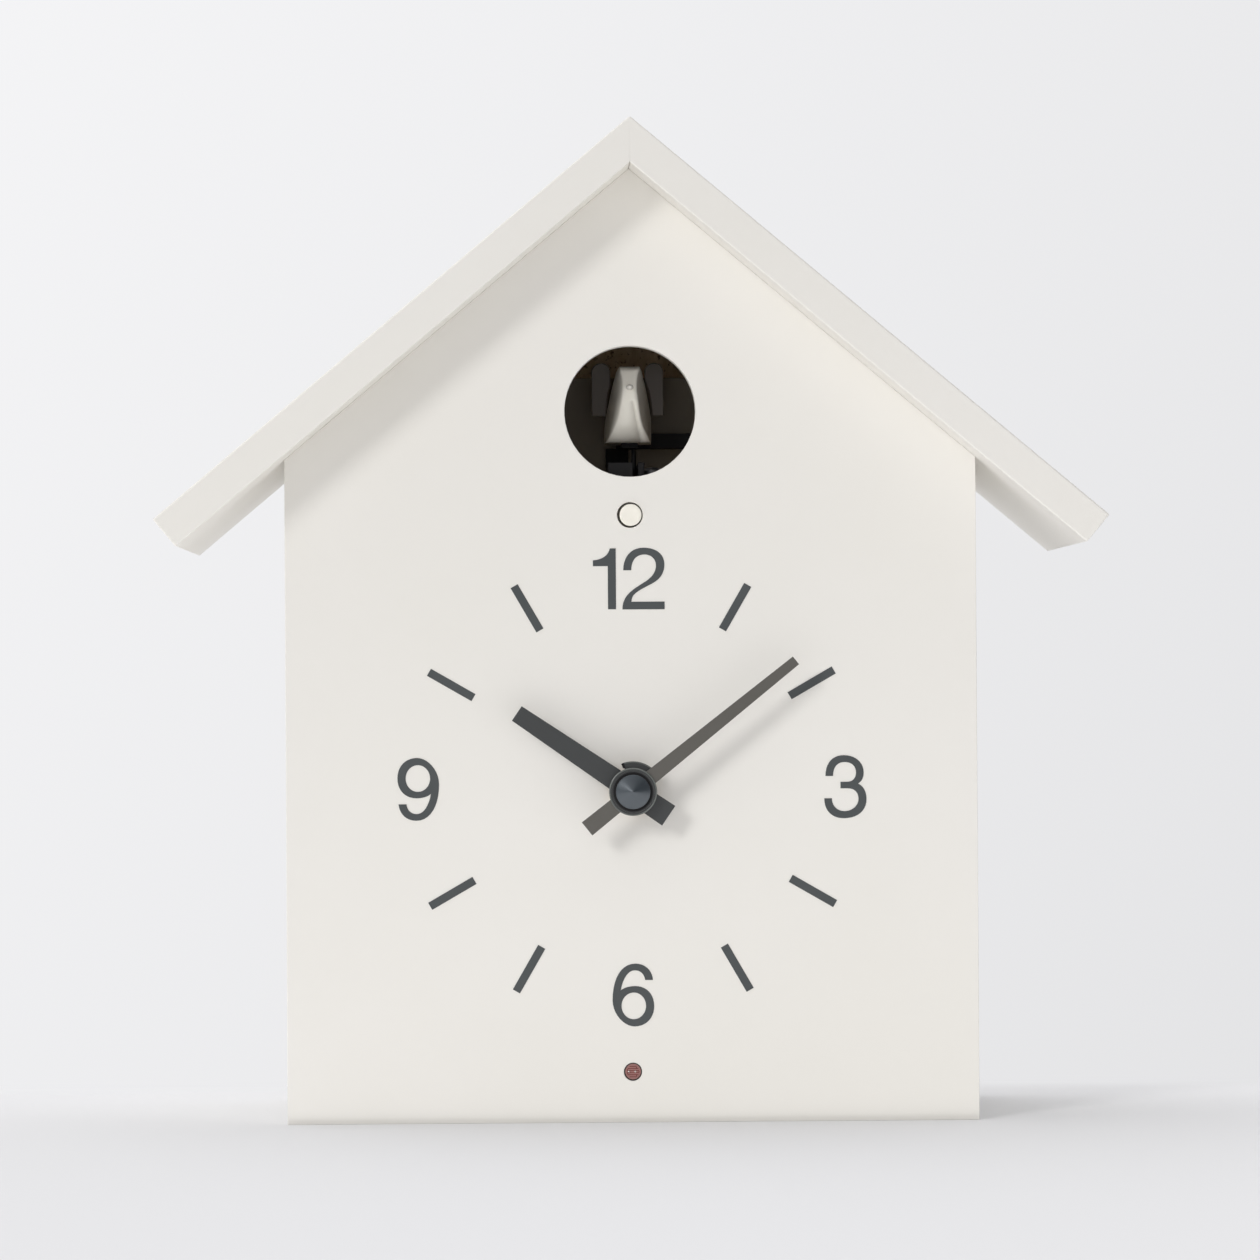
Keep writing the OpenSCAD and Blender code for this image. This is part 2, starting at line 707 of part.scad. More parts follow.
module setting_knob() {
    ribs = 24;
    color(black_plastic) difference() {
        union() {
            rod_y(0, setting_z, 7.6, mv_y1 + 0.6, mv_y1 + 6.4);
            for (i = [0:ribs - 1])
                rod_y(7.6 * sin(360 * i / ribs), setting_z + 7.6 * cos(360 * i / ribs), 0.45,
                      mv_y1 + 1, mv_y1 + 6);
        }
        rod_y(0, setting_z, setting_shaft_r + press, mv_y1, mv_y1 + 6);
        rod_y(0, setting_z, 5.4, mv_y1 + 5.4, mv_y1 + 7);
    }
}

/* ---------- cuckoo drive ---------- */

shelf_z0 = 170.5;
shelf_z1 = 173.5;
shelf_half_w = 62;
shelf_y1 = y_back_in - 1;
// Rack on the carriage, compound drive gear and motor pinion
rack_teeth_z = [179, 183.5];
rack_line_x = 30.25;
drive_small = 16;
drive_big = 36;
pinion_teeth = 12;
drive_x = rack_line_x + gear_m * drive_small / 2;
drive_y = 6;
motor_x = drive_x + gear_m * (drive_big + pinion_teeth) / 2;
big_z0 = 185.3;
big_z1 = 187.3;
block_x0 = 22;
block_x1 = rack_line_x - 1.25 * gear_m;
block_y0 = 3;
block_y1 = 40;
block_z0 = 178.6;
block_z1 = 184.6;
bridge_z1 = 187.4;
rod_x0 = 25.4;
rod_z0 = 181.6;
guide_r = 1.5;
post_x = 1.6;
post_y = -4;
post_r = 0.65;
bird_z0 = 184.2;
bird_h = 20.6;
bird_y0 = -17.5;
bird_y1 = 5;
track_screw = [6.2, -20];
motor_r = 10;
motor_len = 24;

module cuckoo_shelf() {
    color(raw_board) difference() {
        block([-shelf_half_w, y_inside, shelf_z0], [shelf_half_w, shelf_y1, shelf_z1]);
        rod_z(motor_x, drive_y, 3.2, shelf_z0 - 1, shelf_z1 + 1);
        rod_z(drive_x, drive_y, 1 + press, shelf_z0 - 1, shelf_z1 + 1);
        block([-52, 20, shelf_z0 - 1], [-44, 30, shelf_z1 + 1]);
    }
}

// Dark screen behind the bird, bent to a foot
module mechanism_cover() {
    color(dark_plastic) {
        block([-38, 12, shelf_z1], [20.5, 14, 203.2]);
        block([-38, 14, shelf_z1], [20.5, 24, shelf_z1 + 2]);
    }
}

// Track that keeps the bird's post upright as it slides, with a stop plate at its back
module guide_track() {
    color(black_plastic) difference() {
        union() {
            block([-5.9, -26, shelf_z1], [post_x + 2.4, 11.5, shelf_z1 + 4.6]);
            block([-5.9, 9.2, shelf_z1], [0.4, 11.5, 183.4]);
        }
        block([post_x - post_r - run, post_y - bird_travel - 1.2, shelf_z1 + 1],
              [post_x + post_r + run, post_y + 1.2, shelf_z1 + 5]);
        rod_z(track_screw[0], track_screw[1], 3.6, shelf_z1 - 1, shelf_z1 + 6);
    }
}

// Guide rod of the carriage, and the pan-head screw beside the track
module guide_rod() {
    color(steel) {
        rod_y(rod_x0, rod_z0, guide_r, -27.5, 44.5);
        translate([track_screw[0], track_screw[1], shelf_z1]) rotate_extrude($fn = 48)
            polygon([[0, 0], [3.3, 0], [3.3, 1.6], [2.9, 2.6], [1.9, 3.3], [0, 3.6]]);
    }
}

module rod_brackets() {
    color(black_plastic) for (y = [-27.5, 41.5])
        difference() {
            union() {
                block([rod_x0 - 4, y, shelf_z1], [rod_x0 + 4, y + 3, rod_z0]);
                rod_y(rod_x0, rod_z0, 4, y, y + 3);
            }
            rod_y(rod_x0, rod_z0, guide_r + press, y - 1, y + 4);
        }
}

module bird_carriage() {
    rack_pitch = PI * gear_m;
    half = tooth_thickness(gear_m) / 2;
    first = drive_y + rack_pitch / 2;
    color(black_plastic) {
        difference() {
            block([block_x0, block_y0, block_z0], [block_x1, block_y1, block_z1]);
            rod_y(rod_x0, rod_z0, guide_r + run, block_y0 - 1, block_y1 + 1);
        }
        // Rack: a gap faces the drive gear at rest
        translate([0, 0, rack_teeth_z[0]]) linear_extrude(rack_teeth_z[1] - rack_teeth_z[0])
            for (k = [-2:20])
                let (y = first + k * rack_pitch)
                    if (y > block_y0 + half * 1.8 && y < block_y1 - half * 1.8)
                        polygon([[block_x1 - 0.1, y - 1.5 * half], [block_x1, y - 1.5 * half],
                                 [rack_line_x, y - half], [rack_line_x + 0.85 * gear_m, y - 0.42 * half],
                                 [rack_line_x + 0.85 * gear_m, y + 0.42 * half], [rack_line_x, y + half],
                                 [block_x1, y + 1.5 * half], [block_x1 - 0.1, y + 1.5 * half]]);
    }
}

// Arm from the carriage to the bird's tail
module carriage_arm() {
    color(black_plastic) {
        block([-3, bird_y1, 183.2], [block_x0 - 0.02, bird_y1 + 4, bridge_z1]);
        block([block_x0 - 0.02, bird_y1, block_z1], [block_x0 + 2, bird_y1 + 4, bridge_z1]);
    }
}

module bird_post() {
    color(black_plastic) {
        rod_z(post_x, post_y, post_r, shelf_z1 + 1.4, bird_z0 - 1.4);
        block([-1.9, post_y - 4, bird_z0 - 1.4], [2.7, post_y + 4, bird_z0]);
    }
}

// Bird: full breast that curves under at the bottom, a flat strip down its front, round flanks and
// a square tail. Each level is [height share, half width of the strip, its middle, half width of
// the body, front, back]
bird_levels = [
    [0.00, 5.70, 0.10, 6.40, 5.6, 22.4], [0.05, 5.60, 0.15, 6.50, 4.0, 22.5],
    [0.11, 5.00, 0.25, 6.50, 2.8, 22.5], [0.20, 4.10, 0.40, 6.45, 1.6, 22.4],
    [0.30, 3.50, 0.42, 6.40, 0.8, 22.0], [0.42, 2.90, 0.42, 6.30, 0.3, 21.2],
    [0.55, 2.35, 0.40, 6.05, 0.0, 19.4], [0.68, 1.85, 0.32, 5.70, 0.1, 17.2],
    [0.84, 1.85, 0.32, 4.60, 0.5, 14.4], [0.95, 2.30, 0.25, 3.80, 1.0, 13.1],
    [1.00, 2.70, 0.15, 3.30, 1.8, 12.2]
];
flank_d = 4.6;
function bird_ring(l) = let (
    z = bird_z0 + l[0] * bird_h, f = bird_y0 + l[4], b = bird_y0 + l[5], m = l[3] - l[1],
    side = concat([for (a = [0, 25, 45, 65, 90]) [l[1] + m * sin(a), f + flank_d * (1 - cos(a))]],
                  [[l[3], b - 5], [l[3] * 0.92, b - 2], [l[3] * 0.6, b]])
) concat([for (p = side) [p[0] + l[2], p[1], z]],
         [for (i = [len(side) - 1:-1:0]) [l[2] - side[i][0], side[i][1], z]]);
module bird_body() {
    n = len(bird_ring(bird_levels[0]));
    last = len(bird_levels) - 1;
    color(white_paint) polyhedron(
        points = [for (l = bird_levels) each bird_ring(l)],
        faces = concat([[for (k = [0:n - 1]) k]],
            [for (i = [0:last - 1], k = [0:n - 1])
                let (a = i * n + k, b = i * n + (k + 1) % n) each [[a, b + n, b], [a, a + n, b + n]]],
            [[for (k = [n - 1:-1:0]) last * n + k]]),
        convexity = 6);
}

// Wings: grey lobes on each flank, round at the shoulder
wing_y = -4;
module bird_wings() {
    color(dark_plastic) for (s = [-1, 1])
        along_y(wing_y, wing_y + 1.6) difference() {
            union() {
                translate([s * 7.3, bird_z0 + 19.6]) circle(r = 2.6, $fn = 48);
                translate([s * 7.3 - 2.6, bird_z0 + 7.6]) square([5.2, 12]);
            }
            polygon(concat([[0, bird_z0 - 1]],
                [for (l = bird_levels) [s * (l[3] + 0.02) + l[2], bird_z0 + l[0] * bird_h]],
                [[0, bird_z0 + bird_h + 0.01]]));
        }
}

// Small beak: a rounded wedge on the flat strip, just under the head. The strip leans between two
// levels, and the wedge's back follows it
beak_z = bird_z0 + 14.8;
beak_w = 2.1;
beak_x = 0.32;
module bird_beak() {
    low = bird_levels[7];
    high = bird_levels[8];
    lean = (high[4] - low[4]) / ((high[0] - low[0]) * bird_h);
    face = bird_y0 + low[4] - 0.01;
    rim = [for (a = [0:30:330]) [beak_x + beak_w / 2 * cos(a), beak_z + 0.75 * sin(a)]];
    n = len(rim);
    color([0.95, 0.93, 0.88]) polyhedron(
        points = concat(
            [for (p = rim) [p[0], face + lean * (p[1] - bird_z0 - low[0] * bird_h), p[1]]],
            [for (p = rim) [beak_x + 0.7 * (p[0] - beak_x), face - 1.4, beak_z + 0.7 * (p[1] - beak_z)]],
            [[beak_x, face - 2, beak_z]]),
        faces = concat([[for (k = [0:n - 1]) k]],
            [for (k = [0:n - 1]) let (j = (k + 1) % n)
                each [[k, n + k, n + j], [k, n + j, j], [n + k, 2 * n, n + j]]]),
        convexity = 4);
}

module drive_gear() {
    color(pale_plastic) difference() {
        union() {
            translate([drive_x, drive_y, rack_teeth_z[0] - 0.2])
                linear_extrude(big_z0 - rack_teeth_z[0] + 0.2) gear(drive_small, 180);
            translate([drive_x, drive_y, big_z0]) linear_extrude(big_z1 - big_z0) gear(drive_big, 0);
        }
        rod_z(drive_x, drive_y, 1 + run, rack_teeth_z[0] - 1, big_z1 + 1);
    }
}

module gear_post() {
    color(steel) {
        rod_z(drive_x, drive_y, 1, shelf_z0, big_z1 + 1.2);
        rod_z(drive_x, drive_y, 2.2, shelf_z1, rack_teeth_z[0] - 0.4);
    }
}

module drive_motor() {
    color(steel) {
        difference() {
            rod_z(motor_x, drive_y, motor_r, shelf_z0 - motor_len, shelf_z0);
            rod_z(motor_x, drive_y, 0.75 + run, shelf_z0 - 6, shelf_z0 + 1);
        }
        difference() {
            rod_z(motor_x, drive_y, 3, shelf_z0, shelf_z0 + 1.5);
            rod_z(motor_x, drive_y, 0.75 + run, shelf_z0 - 1, shelf_z0 + 3);
        }
        rod_z(motor_x, drive_y, 2.5, shelf_z0 - motor_len - 1.5, shelf_z0 - motor_len);
    }
}

module motor_pinion() {
    color(brass) {
        rod_z(motor_x, drive_y, 0.75, shelf_z0 - 5.5, big_z0 - 0.3);
        translate([motor_x, drive_y, big_z0 - 0.3]) linear_extrude(big_z1 - big_z0 + 0.6)
            gear(pinion_teeth, 180 + 180 / pinion_teeth);
    }
}

/* ---------- push button and light sensor ---------- */

switch_y0 = y_inside + 7.2;
button_flange_y = y_inside + 0.2;
module button_cap() {
    color(pale_plastic) {
        difference() {
            rod_y(0, button_z, button_d / 2, y_panel - 0.7, button_flange_y);
            // Shallow dish in the face
            translate([0, y_panel - 0.7 - 19.9, button_z]) sphere(r = 20, $fn = 96);
        }
        rod_y(0, button_z, 4.6, button_flange_y, button_flange_y + 1.2);
        rod_y(0, button_z, 1.4, button_flange_y + 1.2, button_flange_y + 4.4);
    }
}

module button_spring() {
    wire = 0.25;
    turns = 5;
    y0 = button_flange_y + 1.2 + wire + 0.02;
    y1 = switch_y0 - wire - 0.02;
    steps = turns * 16;
    color(steel) sweep([for (i = [0:steps]) let (a = 360 * turns * i / steps)
        [2.6 * cos(a), y0 + (y1 - y0) * i / steps, button_z + 2.6 * sin(a)]], wire, 6);
}

// Tact switch on its small board, on two legs from the panel
module button_switch() {
    color(board_green)
        block([-10, switch_y0, button_z - 5.6], [10, switch_y0 + 1.4, button_z + 5.6]);
    color(black_plastic) {
        block([-3, switch_y0 + 1.4, button_z - 3], [3, switch_y0 + 4.4, button_z + 3]);
        for (x = [-8, 8]) rod_y(x, button_z, 1.5, y_inside, switch_y0);
    }
}

sensor_face_y = y_panel + 0.7;
cell_face_r = 2.15;
module sensor_cell() {
    color([0.45, 0.16, 0.10]) {
        rod_y(sensor_x, sensor_z, cell_face_r, sensor_face_y, sensor_face_y + 2);
        for (x = [-1.2, 1.2]) rod_y(sensor_x + x, sensor_z, 0.25, sensor_face_y + 2, y_inside + 9);
    }
}

module sensor_sleeve() {
    color(rubber) difference() {
        union() {
            rod_y(sensor_x, sensor_z, sensor_d / 2 - press, y_panel + 0.5, y_inside);
            rod_y(sensor_x, sensor_z, 3.9, y_inside, y_inside + 2);
        }
        rod_y(sensor_x, sensor_z, cell_face_r, y_panel, sensor_face_y + 2);
        for (x = [-1.2, 1.2]) rod_y(sensor_x + x, sensor_z, 0.25 + press, y_panel, y_inside + 4);
    }
}

/* ---------- electronics ---------- */

board_x = [-74, -34];
board_z = [34, 102];
board_y0 = 0;
board_y1 = 1.6;
standoff_at = [[-70, 38], [-38, 38], [-70, 98], [-38, 98]];
switch_at = [-46, 88];
volume_at = [-54, 60];

module control_board() {
    color(board_green) difference() {
        block([board_x[0], board_y0, board_z[0]], [board_x[1], board_y1, board_z[1]]);
        for (p = standoff_at) rod_y(p[0], p[1], 1.25 + press, board_y0 - 1, board_y1 + 1);
    }
}

module board_standoffs() {
    color(pale_plastic) for (p = standoff_at) {
        rod_y(p[0], p[1], 3, y_inside, board_y0);
        rod_y(p[0], p[1], 1.25, board_y0, board_y1 + 1.4);
    }
}

// Chips, capacitors, plug sockets, slide-switch housing and volume pot
plug_x = [-62, -52, -42];
plug_z = [39.6, 43.6];
plug_h = 5;
module board_parts() {
    color(black_plastic) {
        block([-66, board_y1, 76], [-56, board_y1 + 1.6, 90]);
        block([-50, board_y1, 70], [-42, board_y1 + 1.5, 76]);
        along_y(board_y1, board_y1 + 3.5) translate(switch_at) square([10, 4], center = true);
        along_y(board_y1, board_y1 + 2) translate(volume_at) square(10, center = true);
        for (p = [[-68, 50], [-68, 66]]) rod_y(p[0], p[1], 3.2, board_y1, board_y1 + 8);
    }
    color(pale_plastic)
        for (x = plug_x)
            block([x - 3.5, board_y1, plug_z[0]], [x + 3.5, board_y1 + plug_h, plug_z[1]]);
}

module mode_slider() {
    color(pale_plastic)
        block([switch_at[0] - 4, board_y1 + 3.6, switch_at[1] - 1.2],
              [switch_at[0] - 1, board_y1 + 7.6, switch_at[1] + 1.2]);
}

volume_r = 8;
module volume_wheel() {
    notches = 24;
    color(dark_plastic) along_y(board_y1 + 2.2, board_y1 + 5)
        translate([volume_at[0], volume_at[1]]) difference() {
            circle(r = volume_r, $fn = 96);
            for (i = [0:notches - 1])
                rotate(360 * i / notches) translate([volume_r + 0.25, 0]) circle(r = 0.6, $fn = 16);
            translate([0, 4.6]) circle(r = 0.9, $fn = 24);
        }
}

// Loudspeaker that plays the call, behind the slots in the back panel
speaker_r = 27;
module speaker_frame() {
    color(black_plastic) {
        tube_y(0, speaker_z, speaker_r, 23.6, y_back_in - 2, y_back_in);
        difference() {
            rod_y(0, speaker_z, 14, y_back_in - 12, y_back_in - 2, speaker_r - 1.5);
            rod_y(0, speaker_z, 12.4, y_back_in - 10.8, y_back_in - 1.9, 24);
            rod_y(0, speaker_z, 7.5, y_back_in - 14, y_back_in - 10);
        }
    }
    color(steel) rod_y(0, speaker_z, 12.5, y_back_in - 18, y_back_in - 12);
}

module speaker_cone() {
    color(dark_plastic) {
        difference() {
            rod_y(0, speaker_z, 7.2, y_back_in - 10.6, y_back_in - 1.7, 20.8);
            rod_y(0, speaker_z, 6.4, y_back_in - 10.2, y_back_in - 1.5, 20.4);
        }
        tube_y(0, speaker_z, 23.5, 20.6, y_back_in - 1.95, y_back_in - 1.2);
        rod_y(0, speaker_z, 7.2, y_back_in - 11.4, y_back_in - 10.2);
    }
}

// Four cells lie along X in two rows on the base board
cell_r = 7.15;
cell_len = 49.4;
tray_x = 57;
tray_y = [9.5, 43.5];
cell_z = base_t + 1.5 + cell_r + 0.1;
cell_rows = [18, 35];
module battery_tray() {
    color(black_plastic) difference() {
        block([-tray_x, tray_y[0], base_t], [tray_x, tray_y[1], cell_z + 3]);
        for (y = cell_rows, x = [-53.6, 1.6])
            block([x, y - cell_r - 0.3, base_t + 1.5], [x + 52, y + cell_r + 0.3, cell_z + 9]);
    }
}

module aa_cells() {
    for (row = [0, 1], col = [0, 1]) {
        x0 = col == 0 ? -52 : 3.2;
        color([0.32, 0.34, 0.36]) rod_x(cell_rows[row], cell_z, cell_r, x0, x0 + cell_len - 1.2);
        color(steel) rod_x(cell_rows[row], cell_z, 2.6, x0 + cell_len - 1.2, x0 + cell_len);
    }
}

module battery_contacts() {
    color(steel) for (y = cell_rows, x = [-53.5, 1.7]) {
        block([x, y - 5, base_t + 2], [x + 0.3, y + 5, cell_z + 5]);
        rod_x(y, cell_z, 3.2, x + 0.3, x + 1.4);
        block([x + 51.4, y - 5, base_t + 2], [x + 51.7, y + 5, cell_z + 5]);
    }
}

// Twisted leads, each from its plug on the control board or the tray to the piece it feeds
lead_r = 0.8;
plug_y = board_y1 + plug_h + 0.03;
leads = [
    // Battery tray to control board
    [[-53, 9.4, 16], [-53, 7.4, 16], [-53, 5.4, 16], [-58, 4.2, 20], [-62, 4.2, 28], [-62, 4.2, 33],
     [-62, 4.2, 36], [-62, 4.2, 39.5]],
    // Control board to loudspeaker
    [[-52, plug_y, 41.6], [-52, 8.6, 41.6], [-52, 10.6, 41.6], [-44, 18, 54], [-36, 28, 90],
     [-24, 31, 118], [-14, 32.5, 132]],
    // Control board to motor
    [[-42, plug_y, 41.6], [-42, 8.6, 41.6], [-42, 10.6, 41.6], [-33, 14, 54], [-31, 16, 80],
     [-31, 18, 120], [-10, 14, 146], [20, 8, 150], [35.9, 6, 152]],
    // Control board to push-button switch
    [[-62, plug_y, 41.6], [-62, 8.6, 41.6], [-62, 10.6, 41.6], [-79, 9, 60], [-80, -2, 96],
     [-62, -11, 130], [-30, -14, 150], [-10.2, -19, 160]],
    // Control board to light sensor
    [[-42, 4.4, 39.5], [-42, 4.4, 37], [-42, 4.4, 34], [-41, 3, 29], [-37, -5, 24], [-24, -12, 19],
     [-8, -16, 14.5], [-1.5, -19.4, sensor_z]]
];
module wiring() {
    color([0.75, 0.12, 0.10]) for (l = leads) sweep(smooth(l), lead_r);
}

/* ---------- the nodes ---------- */

front_panel();
left_wall();
right_wall();
base_board();
roof_left();
roof_right();
back_panel();
back_rails();
corner_blocks();
hanger_batten();
back_screws();
hanger_plate();
hanger_screws();
dial_print();
door_frame();
access_door();
movement_case();
movement_cover();
movement_nut();
movement_washer();
coil();
stator();
rotor();
movement_board();
minute_arbor();
minute_hand();
hand_cap();
hour_wheel();
hour_hand();
motion_wheel();
setting_shaft();
setting_knob();
cuckoo_shelf();
mechanism_cover();
guide_track();
guide_rod();
rod_brackets();
bird_carriage();
carriage_arm();
bird_post();
bird_body();
bird_wings();
bird_beak();
drive_gear();
gear_post();
drive_motor();
motor_pinion();
button_cap();
button_spring();
button_switch();
sensor_cell();
sensor_sleeve();
control_board();
board_parts();
board_standoffs();
mode_slider();
volume_wheel();
speaker_frame();
speaker_cone();
battery_tray();
aa_cells();
battery_contacts();
wiring();
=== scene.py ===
"""House-shaped cuckoo clock: painted board case, printed dial, dark hands and a sliding bird.

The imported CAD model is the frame. Most CAD nodes are shown as finished copies of themselves, with
rounded edges. The hour hand, the boss's rings, the cap, the bird, its beak and the sensor's track are
built here. Lengths are in metres, apart from names that end in _MM and values that are multiplied by
MM where they are used.
"""

import json
import math

import bmesh
import bpy
from mathutils import Matrix, Vector


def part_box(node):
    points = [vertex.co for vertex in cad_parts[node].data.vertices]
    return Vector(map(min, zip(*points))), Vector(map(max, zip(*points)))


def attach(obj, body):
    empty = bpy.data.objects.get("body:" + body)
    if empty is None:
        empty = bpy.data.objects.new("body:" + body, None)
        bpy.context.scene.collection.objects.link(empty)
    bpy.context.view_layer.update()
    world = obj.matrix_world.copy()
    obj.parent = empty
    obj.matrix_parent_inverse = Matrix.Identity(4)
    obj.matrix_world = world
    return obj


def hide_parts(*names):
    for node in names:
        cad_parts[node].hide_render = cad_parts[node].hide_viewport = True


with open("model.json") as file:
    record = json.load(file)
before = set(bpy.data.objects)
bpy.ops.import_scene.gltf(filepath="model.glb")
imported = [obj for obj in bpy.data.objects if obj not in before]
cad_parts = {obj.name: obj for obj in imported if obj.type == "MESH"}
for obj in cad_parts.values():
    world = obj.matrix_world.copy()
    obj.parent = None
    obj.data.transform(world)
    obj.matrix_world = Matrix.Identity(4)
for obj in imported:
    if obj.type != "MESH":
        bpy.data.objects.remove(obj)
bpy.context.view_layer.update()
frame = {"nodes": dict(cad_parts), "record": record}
NODES = frame["nodes"]
RECORD = frame["record"]
BODY_OF = {n: body for body, nodes in RECORD["behaviour"]["bodies"].items() for n in nodes}
SLOT_OF = {part["node"]: part["material_slot"] for part in RECORD["subparts"]}
JOINTS = {joint["name"]: joint for joint in RECORD["behaviour"]["joints"]}
MM = 0.001


# ---------- camera ----------

CAMERA_AT = Vector((-0.0304, -1.4719, 0.1180))
CAMERA_YAW = math.radians(1.1985)
CAMERA_PITCH = math.radians(0.5813)
CAMERA_ROLL = math.radians(-0.337)
CAMERA_LENS_MM = 152.4


def make_camera():
    """Camera in front of the clock, a little to its left, at the height of its middle."""
    yaw, pitch, roll = CAMERA_YAW, CAMERA_PITCH, CAMERA_ROLL
    ahead = Vector((math.sin(yaw) * math.cos(pitch), math.cos(yaw) * math.cos(pitch), math.sin(pitch)))
    level = Vector((math.cos(yaw), -math.sin(yaw), 0))
    up = level.cross(ahead)
    right = level * math.cos(roll) + up * math.sin(roll)
    above = up * math.cos(roll) - level * math.sin(roll)
    data = bpy.data.cameras.new("camera")
    data.lens = CAMERA_LENS_MM
    data.sensor_width = 36
    data.clip_start = 0.05
    camera = bpy.data.objects.new("camera", data)
    turn = Matrix((right, above, -ahead)).transposed().to_4x4()
    camera.matrix_world = Matrix.Translation(CAMERA_AT) @ turn
    bpy.context.collection.objects.link(camera)
    bpy.context.scene.camera = camera


# ---------- stage and light ----------

# The surroundings brighten toward the left, the top and the back
SKY_LEVEL = 0.792
SKY_SLOPE = Vector((-0.333, 0.05, 0.245))
SKY_TINT = (1.0, 1.0, 1.016, 1)
# In front of the clock the surroundings are darker, apart from a broad glow behind the camera
FRONT_DROP = 0.70
FRONT_FROM, FRONT_TO = -0.30, -0.02
FRONT_GLOW, FRONT_GLOW_POWER = 0.72, 8
FRONT_LEAST = 0.04
TOP_GLOW, TOP_GLOW_POWER = 0.7, 4
KEY_FROM = Vector((-0.66, -1.0, 0.45))
KEY_STRENGTH = 0.92
KEY_ANGLE = math.radians(15)
# Light that the paper in front of the clock sends up
BOUNCE_RADIANCE = 0.44
BOUNCE_SIZE = (1.2, 0.46)
BOUNCE_AT = Vector((0.0, -0.266, 0.0008))
FLOOR_HALF = 20
FLOOR_ALBEDO = 0.735
FLOOR_LIFT = 0.05
# The paper under the clock sweeps up just behind it and takes the tone of the surroundings
SWEEP_START = 0.070
SWEEP_END = 0.105


def sky_tone(tree, direction):
    """Socket with the brightness of the surroundings in a direction."""
    dot = tree.nodes.new("ShaderNodeVectorMath")
    dot.operation = "DOT_PRODUCT"
    dot.inputs[1].default_value = SKY_SLOPE
    tree.links.new(direction, dot.inputs[0])
    total = tree.nodes.new("ShaderNodeMath")
    total.operation = "ADD"
    total.inputs[1].default_value = SKY_LEVEL
    tree.links.new(dot.outputs["Value"], total.inputs[0])
    return total.outputs["Value"]


def make_stage():
    """Pale paper floor. Behind the clock it turns into the tone of the surroundings."""
    h = FLOOR_HALF
    mesh = bpy.data.meshes.new("floor")
    mesh.from_pydata([(-h, -h, 0), (h, -h, 0), (h, h, 0), (-h, h, 0)], [], [(0, 1, 2, 3)])
    floor = bpy.data.objects.new("floor", mesh)
    bpy.context.collection.objects.link(floor)
    grey = FLOOR_ALBEDO
    mat, shader = new_material("floor_paper", (grey, grey, grey * 1.01, 1), roughness=1)
    shader.inputs["Specular IOR Level"].default_value = 0
    shader.inputs["Emission Color"].default_value = (1, 1, 1, 1)
    shader.inputs["Emission Strength"].default_value = FLOOR_LIFT
    tree = mat.node_tree
    where = tree.nodes.new("ShaderNodeTexCoord").outputs["Object"]
    away = tree.nodes.new("ShaderNodeVectorMath")
    away.operation = "SUBTRACT"
    away.inputs[1].default_value = CAMERA_AT
    link(mat, where, away.inputs[0])
    direction = tree.nodes.new("ShaderNodeVectorMath")
    direction.operation = "NORMALIZE"
    link(mat, away.outputs["Vector"], direction.inputs[0])
    glow = tree.nodes.new("ShaderNodeEmission")
    glow.inputs["Color"].default_value = SKY_TINT
    link(mat, sky_tone(tree, direction.outputs["Vector"]), glow.inputs["Strength"])
    split = tree.nodes.new("ShaderNodeSeparateXYZ")
    link(mat, where, split.inputs["Vector"])
    sweep = tree.nodes.new("ShaderNodeMapRange")
    sweep.interpolation_type = "SMOOTHSTEP"
    sweep.inputs["From Min"].default_value = SWEEP_START
    sweep.inputs["From Max"].default_value = SWEEP_END
    link(mat, split.outputs["Y"], sweep.inputs["Value"])
    mix = tree.nodes.new("ShaderNodeMixShader")
    link(mat, sweep.outputs["Result"], mix.inputs["Fac"])
    link(mat, shader.outputs["BSDF"], mix.inputs[1])
    link(mat, glow.outputs["Emission"], mix.inputs[2])
    link(mat, mix.outputs["Shader"], tree.nodes["Material Output"].inputs["Surface"])
    mesh.materials.append(mat)


